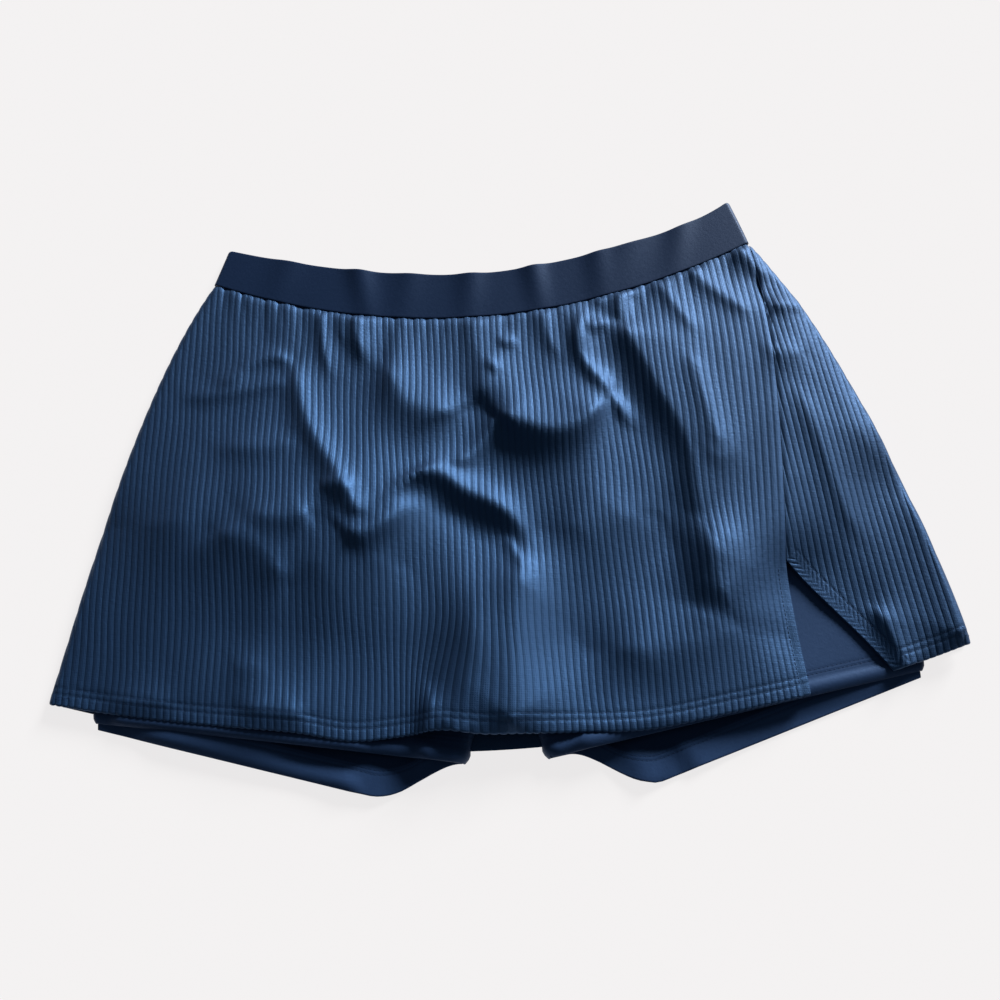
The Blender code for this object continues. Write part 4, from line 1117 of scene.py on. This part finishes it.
def band_top_y(x):
    lift = BAND_RIGHT_LIFT * np.maximum(x / WAIST_HALF, 0) ** BAND_LIFT_POWER
    return BAND_TOP_Y + BAND_TOP_RISE * np.abs(x / WAIST_HALF) ** BAND_TOP_POWER + lift


def band_ring(share, inset):
    """Points round the band at a share of the way down, inset from its outer face."""
    radius = BAND_HEIGHT / 2
    half = WAIST_HALF + (SEAM_HALF - WAIST_HALF) * share + BAND_WALL / 2
    half = half - BAND_CORNER * (1 - round_over(share, BAND_CORNER_SHARE))
    front_x = np.linspace(-half + radius, half - radius, BAND_FRONT_COLUMNS)
    end_x = half - radius + (radius - inset) * np.cos(BAND_END_TURNS)
    back_x = np.linspace(half - radius, -half + radius, BAND_BACK_COLUMNS)
    x = np.concatenate([front_x, end_x, back_x, -end_x[::-1]])
    front_z = BAND_HEIGHT + band_wave(front_x, share) - inset
    end_z = radius + (radius - inset) * np.sin(BAND_END_TURNS)
    z = np.concatenate([front_z, end_z, np.full_like(back_x, inset), end_z[::-1]])
    reach = np.clip(x, -half + BAND_WALL / 2, half - BAND_WALL / 2)
    y = band_top_y(reach) + (seam_y(reach) - band_top_y(reach)) * share
    return np.stack([x, y, z], axis=1)


band_turns = np.radians((80, 55, 30, 0))  # the rows that round the band's two edges
band_turns = np.concatenate([band_turns, np.zeros(BAND_BODY), band_turns[::-1]])
band_shares = np.linspace(0.05, 0.95, BAND_BODY)
band_shares = np.concatenate([(0, 0.004, 0.010, 0.022), band_shares, (0.978, 0.990, 0.996, 1)])
band_insets = BAND_EDGE * (1 - np.cos(band_turns))
band_face = np.stack([band_ring(*place) for place in zip(band_shares, band_insets)], axis=1)
band_lining = np.stack([band_ring(share, BAND_WALL) for share in band_shares], axis=1)
around = np.linspace(0, 4 * WAIST_HALF, len(band_face))[:, None] + 0 * band_shares
band_knit = np.stack([around, band_face[:, :, 1], BAND_TONE + 0 * around], axis=2)
waistband = shell("waistband_elastic", band_face, band_lining, band_knit, band_knit, closed=True)
waistband.data.materials.append(elastic)
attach(waistband, "root")
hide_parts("waistband")

# ==== Floor, light and camera ====
# A pale floor that glows evenly, as a light table does, under one broad soft light, low beyond the waist
# and to the right, and a weak even fill.
floor_mesh = bpy.data.meshes.new("studio_floor")
floor_mesh.from_pydata([(-6, -6, 0), (6, -6, 0), (6, 6, 0), (-6, 6, 0)], [], [(0, 1, 2, 3)])
floor = add_object("studio_floor", floor_mesh)
floor.location.z = -0.0002
paper = bpy.data.materials.new("studio_paper")
paper.use_nodes = True
PAPER_LOOK = {
    "Base Color": (0.100, 0.099, 0.099, 1),
    "Emission Color": (0.805, 0.790, 0.792, 1),
    "Emission Strength": 1.0,
    "Roughness": 1.0,
    "Specular IOR Level": 0.0,
}
for socket, value in PAPER_LOOK.items():
    paper.node_tree.nodes["Principled BSDF"].inputs[socket].default_value = value
floor_mesh.materials.append(paper)

world = bpy.data.worlds.new("studio_fill")
world.use_nodes = True
world.node_tree.nodes.clear()
air = Shade(world.node_tree)
fill = air.node("ShaderNodeBackground", {}, {"Color": (0.90, 0.95, 1.0, 1), "Strength": 0.12})
backdrop = air.node("ShaderNodeBackground", {}, {"Color": (0.90, 0.89, 0.89, 1), "Strength": 1.0})
seen = air.node("ShaderNodeLightPath")  # the backdrop is seen beyond the floor, and lights nothing
lighting = air.node("ShaderNodeMixShader", {}, {0: seen, 1: fill, 2: backdrop})
air.node("ShaderNodeOutputWorld", {}, {"Surface": lighting})
bpy.context.scene.world = world


def placed(right, up, back, place):
    """An object's matrix from its axes and its place."""
    return Matrix(np.vstack([np.column_stack([right, up, back, place]), [0, 0, 0, 1]]).tolist())


KEY_FROM = np.array((0.62, 0.78, 0.36))
key_data = bpy.data.lights.new("key_softbox", "SUN")
key_data.angle = np.radians(18)
key_data.energy = 8.0
key_data.color = (1.0, 0.99, 0.97)
key = add_object("key_softbox", key_data)
key_forward = -KEY_FROM / np.linalg.norm(KEY_FROM)
key_side = np.cross(key_forward, (0, 0, 1))
key_side = key_side / np.linalg.norm(key_side)
key.matrix_world = placed(key_side, np.cross(key_side, key_forward), -key_forward, 3 * KEY_FROM)

CAMERA_PLACE = (0.03579, -0.29951, 0.78914)
CAMERA_RIGHT = (0.99686209, -0.05473535, -0.05718398)
CAMERA_UP = (0.07074886, 0.94009403, 0.33349333)
camera_data = bpy.data.cameras.new("camera")
camera_data.sensor_width = 36.0
camera_data.lens = 37.8
camera = add_object("camera", camera_data)
camera.matrix_world = placed(CAMERA_RIGHT, CAMERA_UP, np.cross(CAMERA_RIGHT, CAMERA_UP), CAMERA_PLACE)
bpy.context.scene.camera = camera
bpy.context.scene.view_settings.view_transform = "Standard"
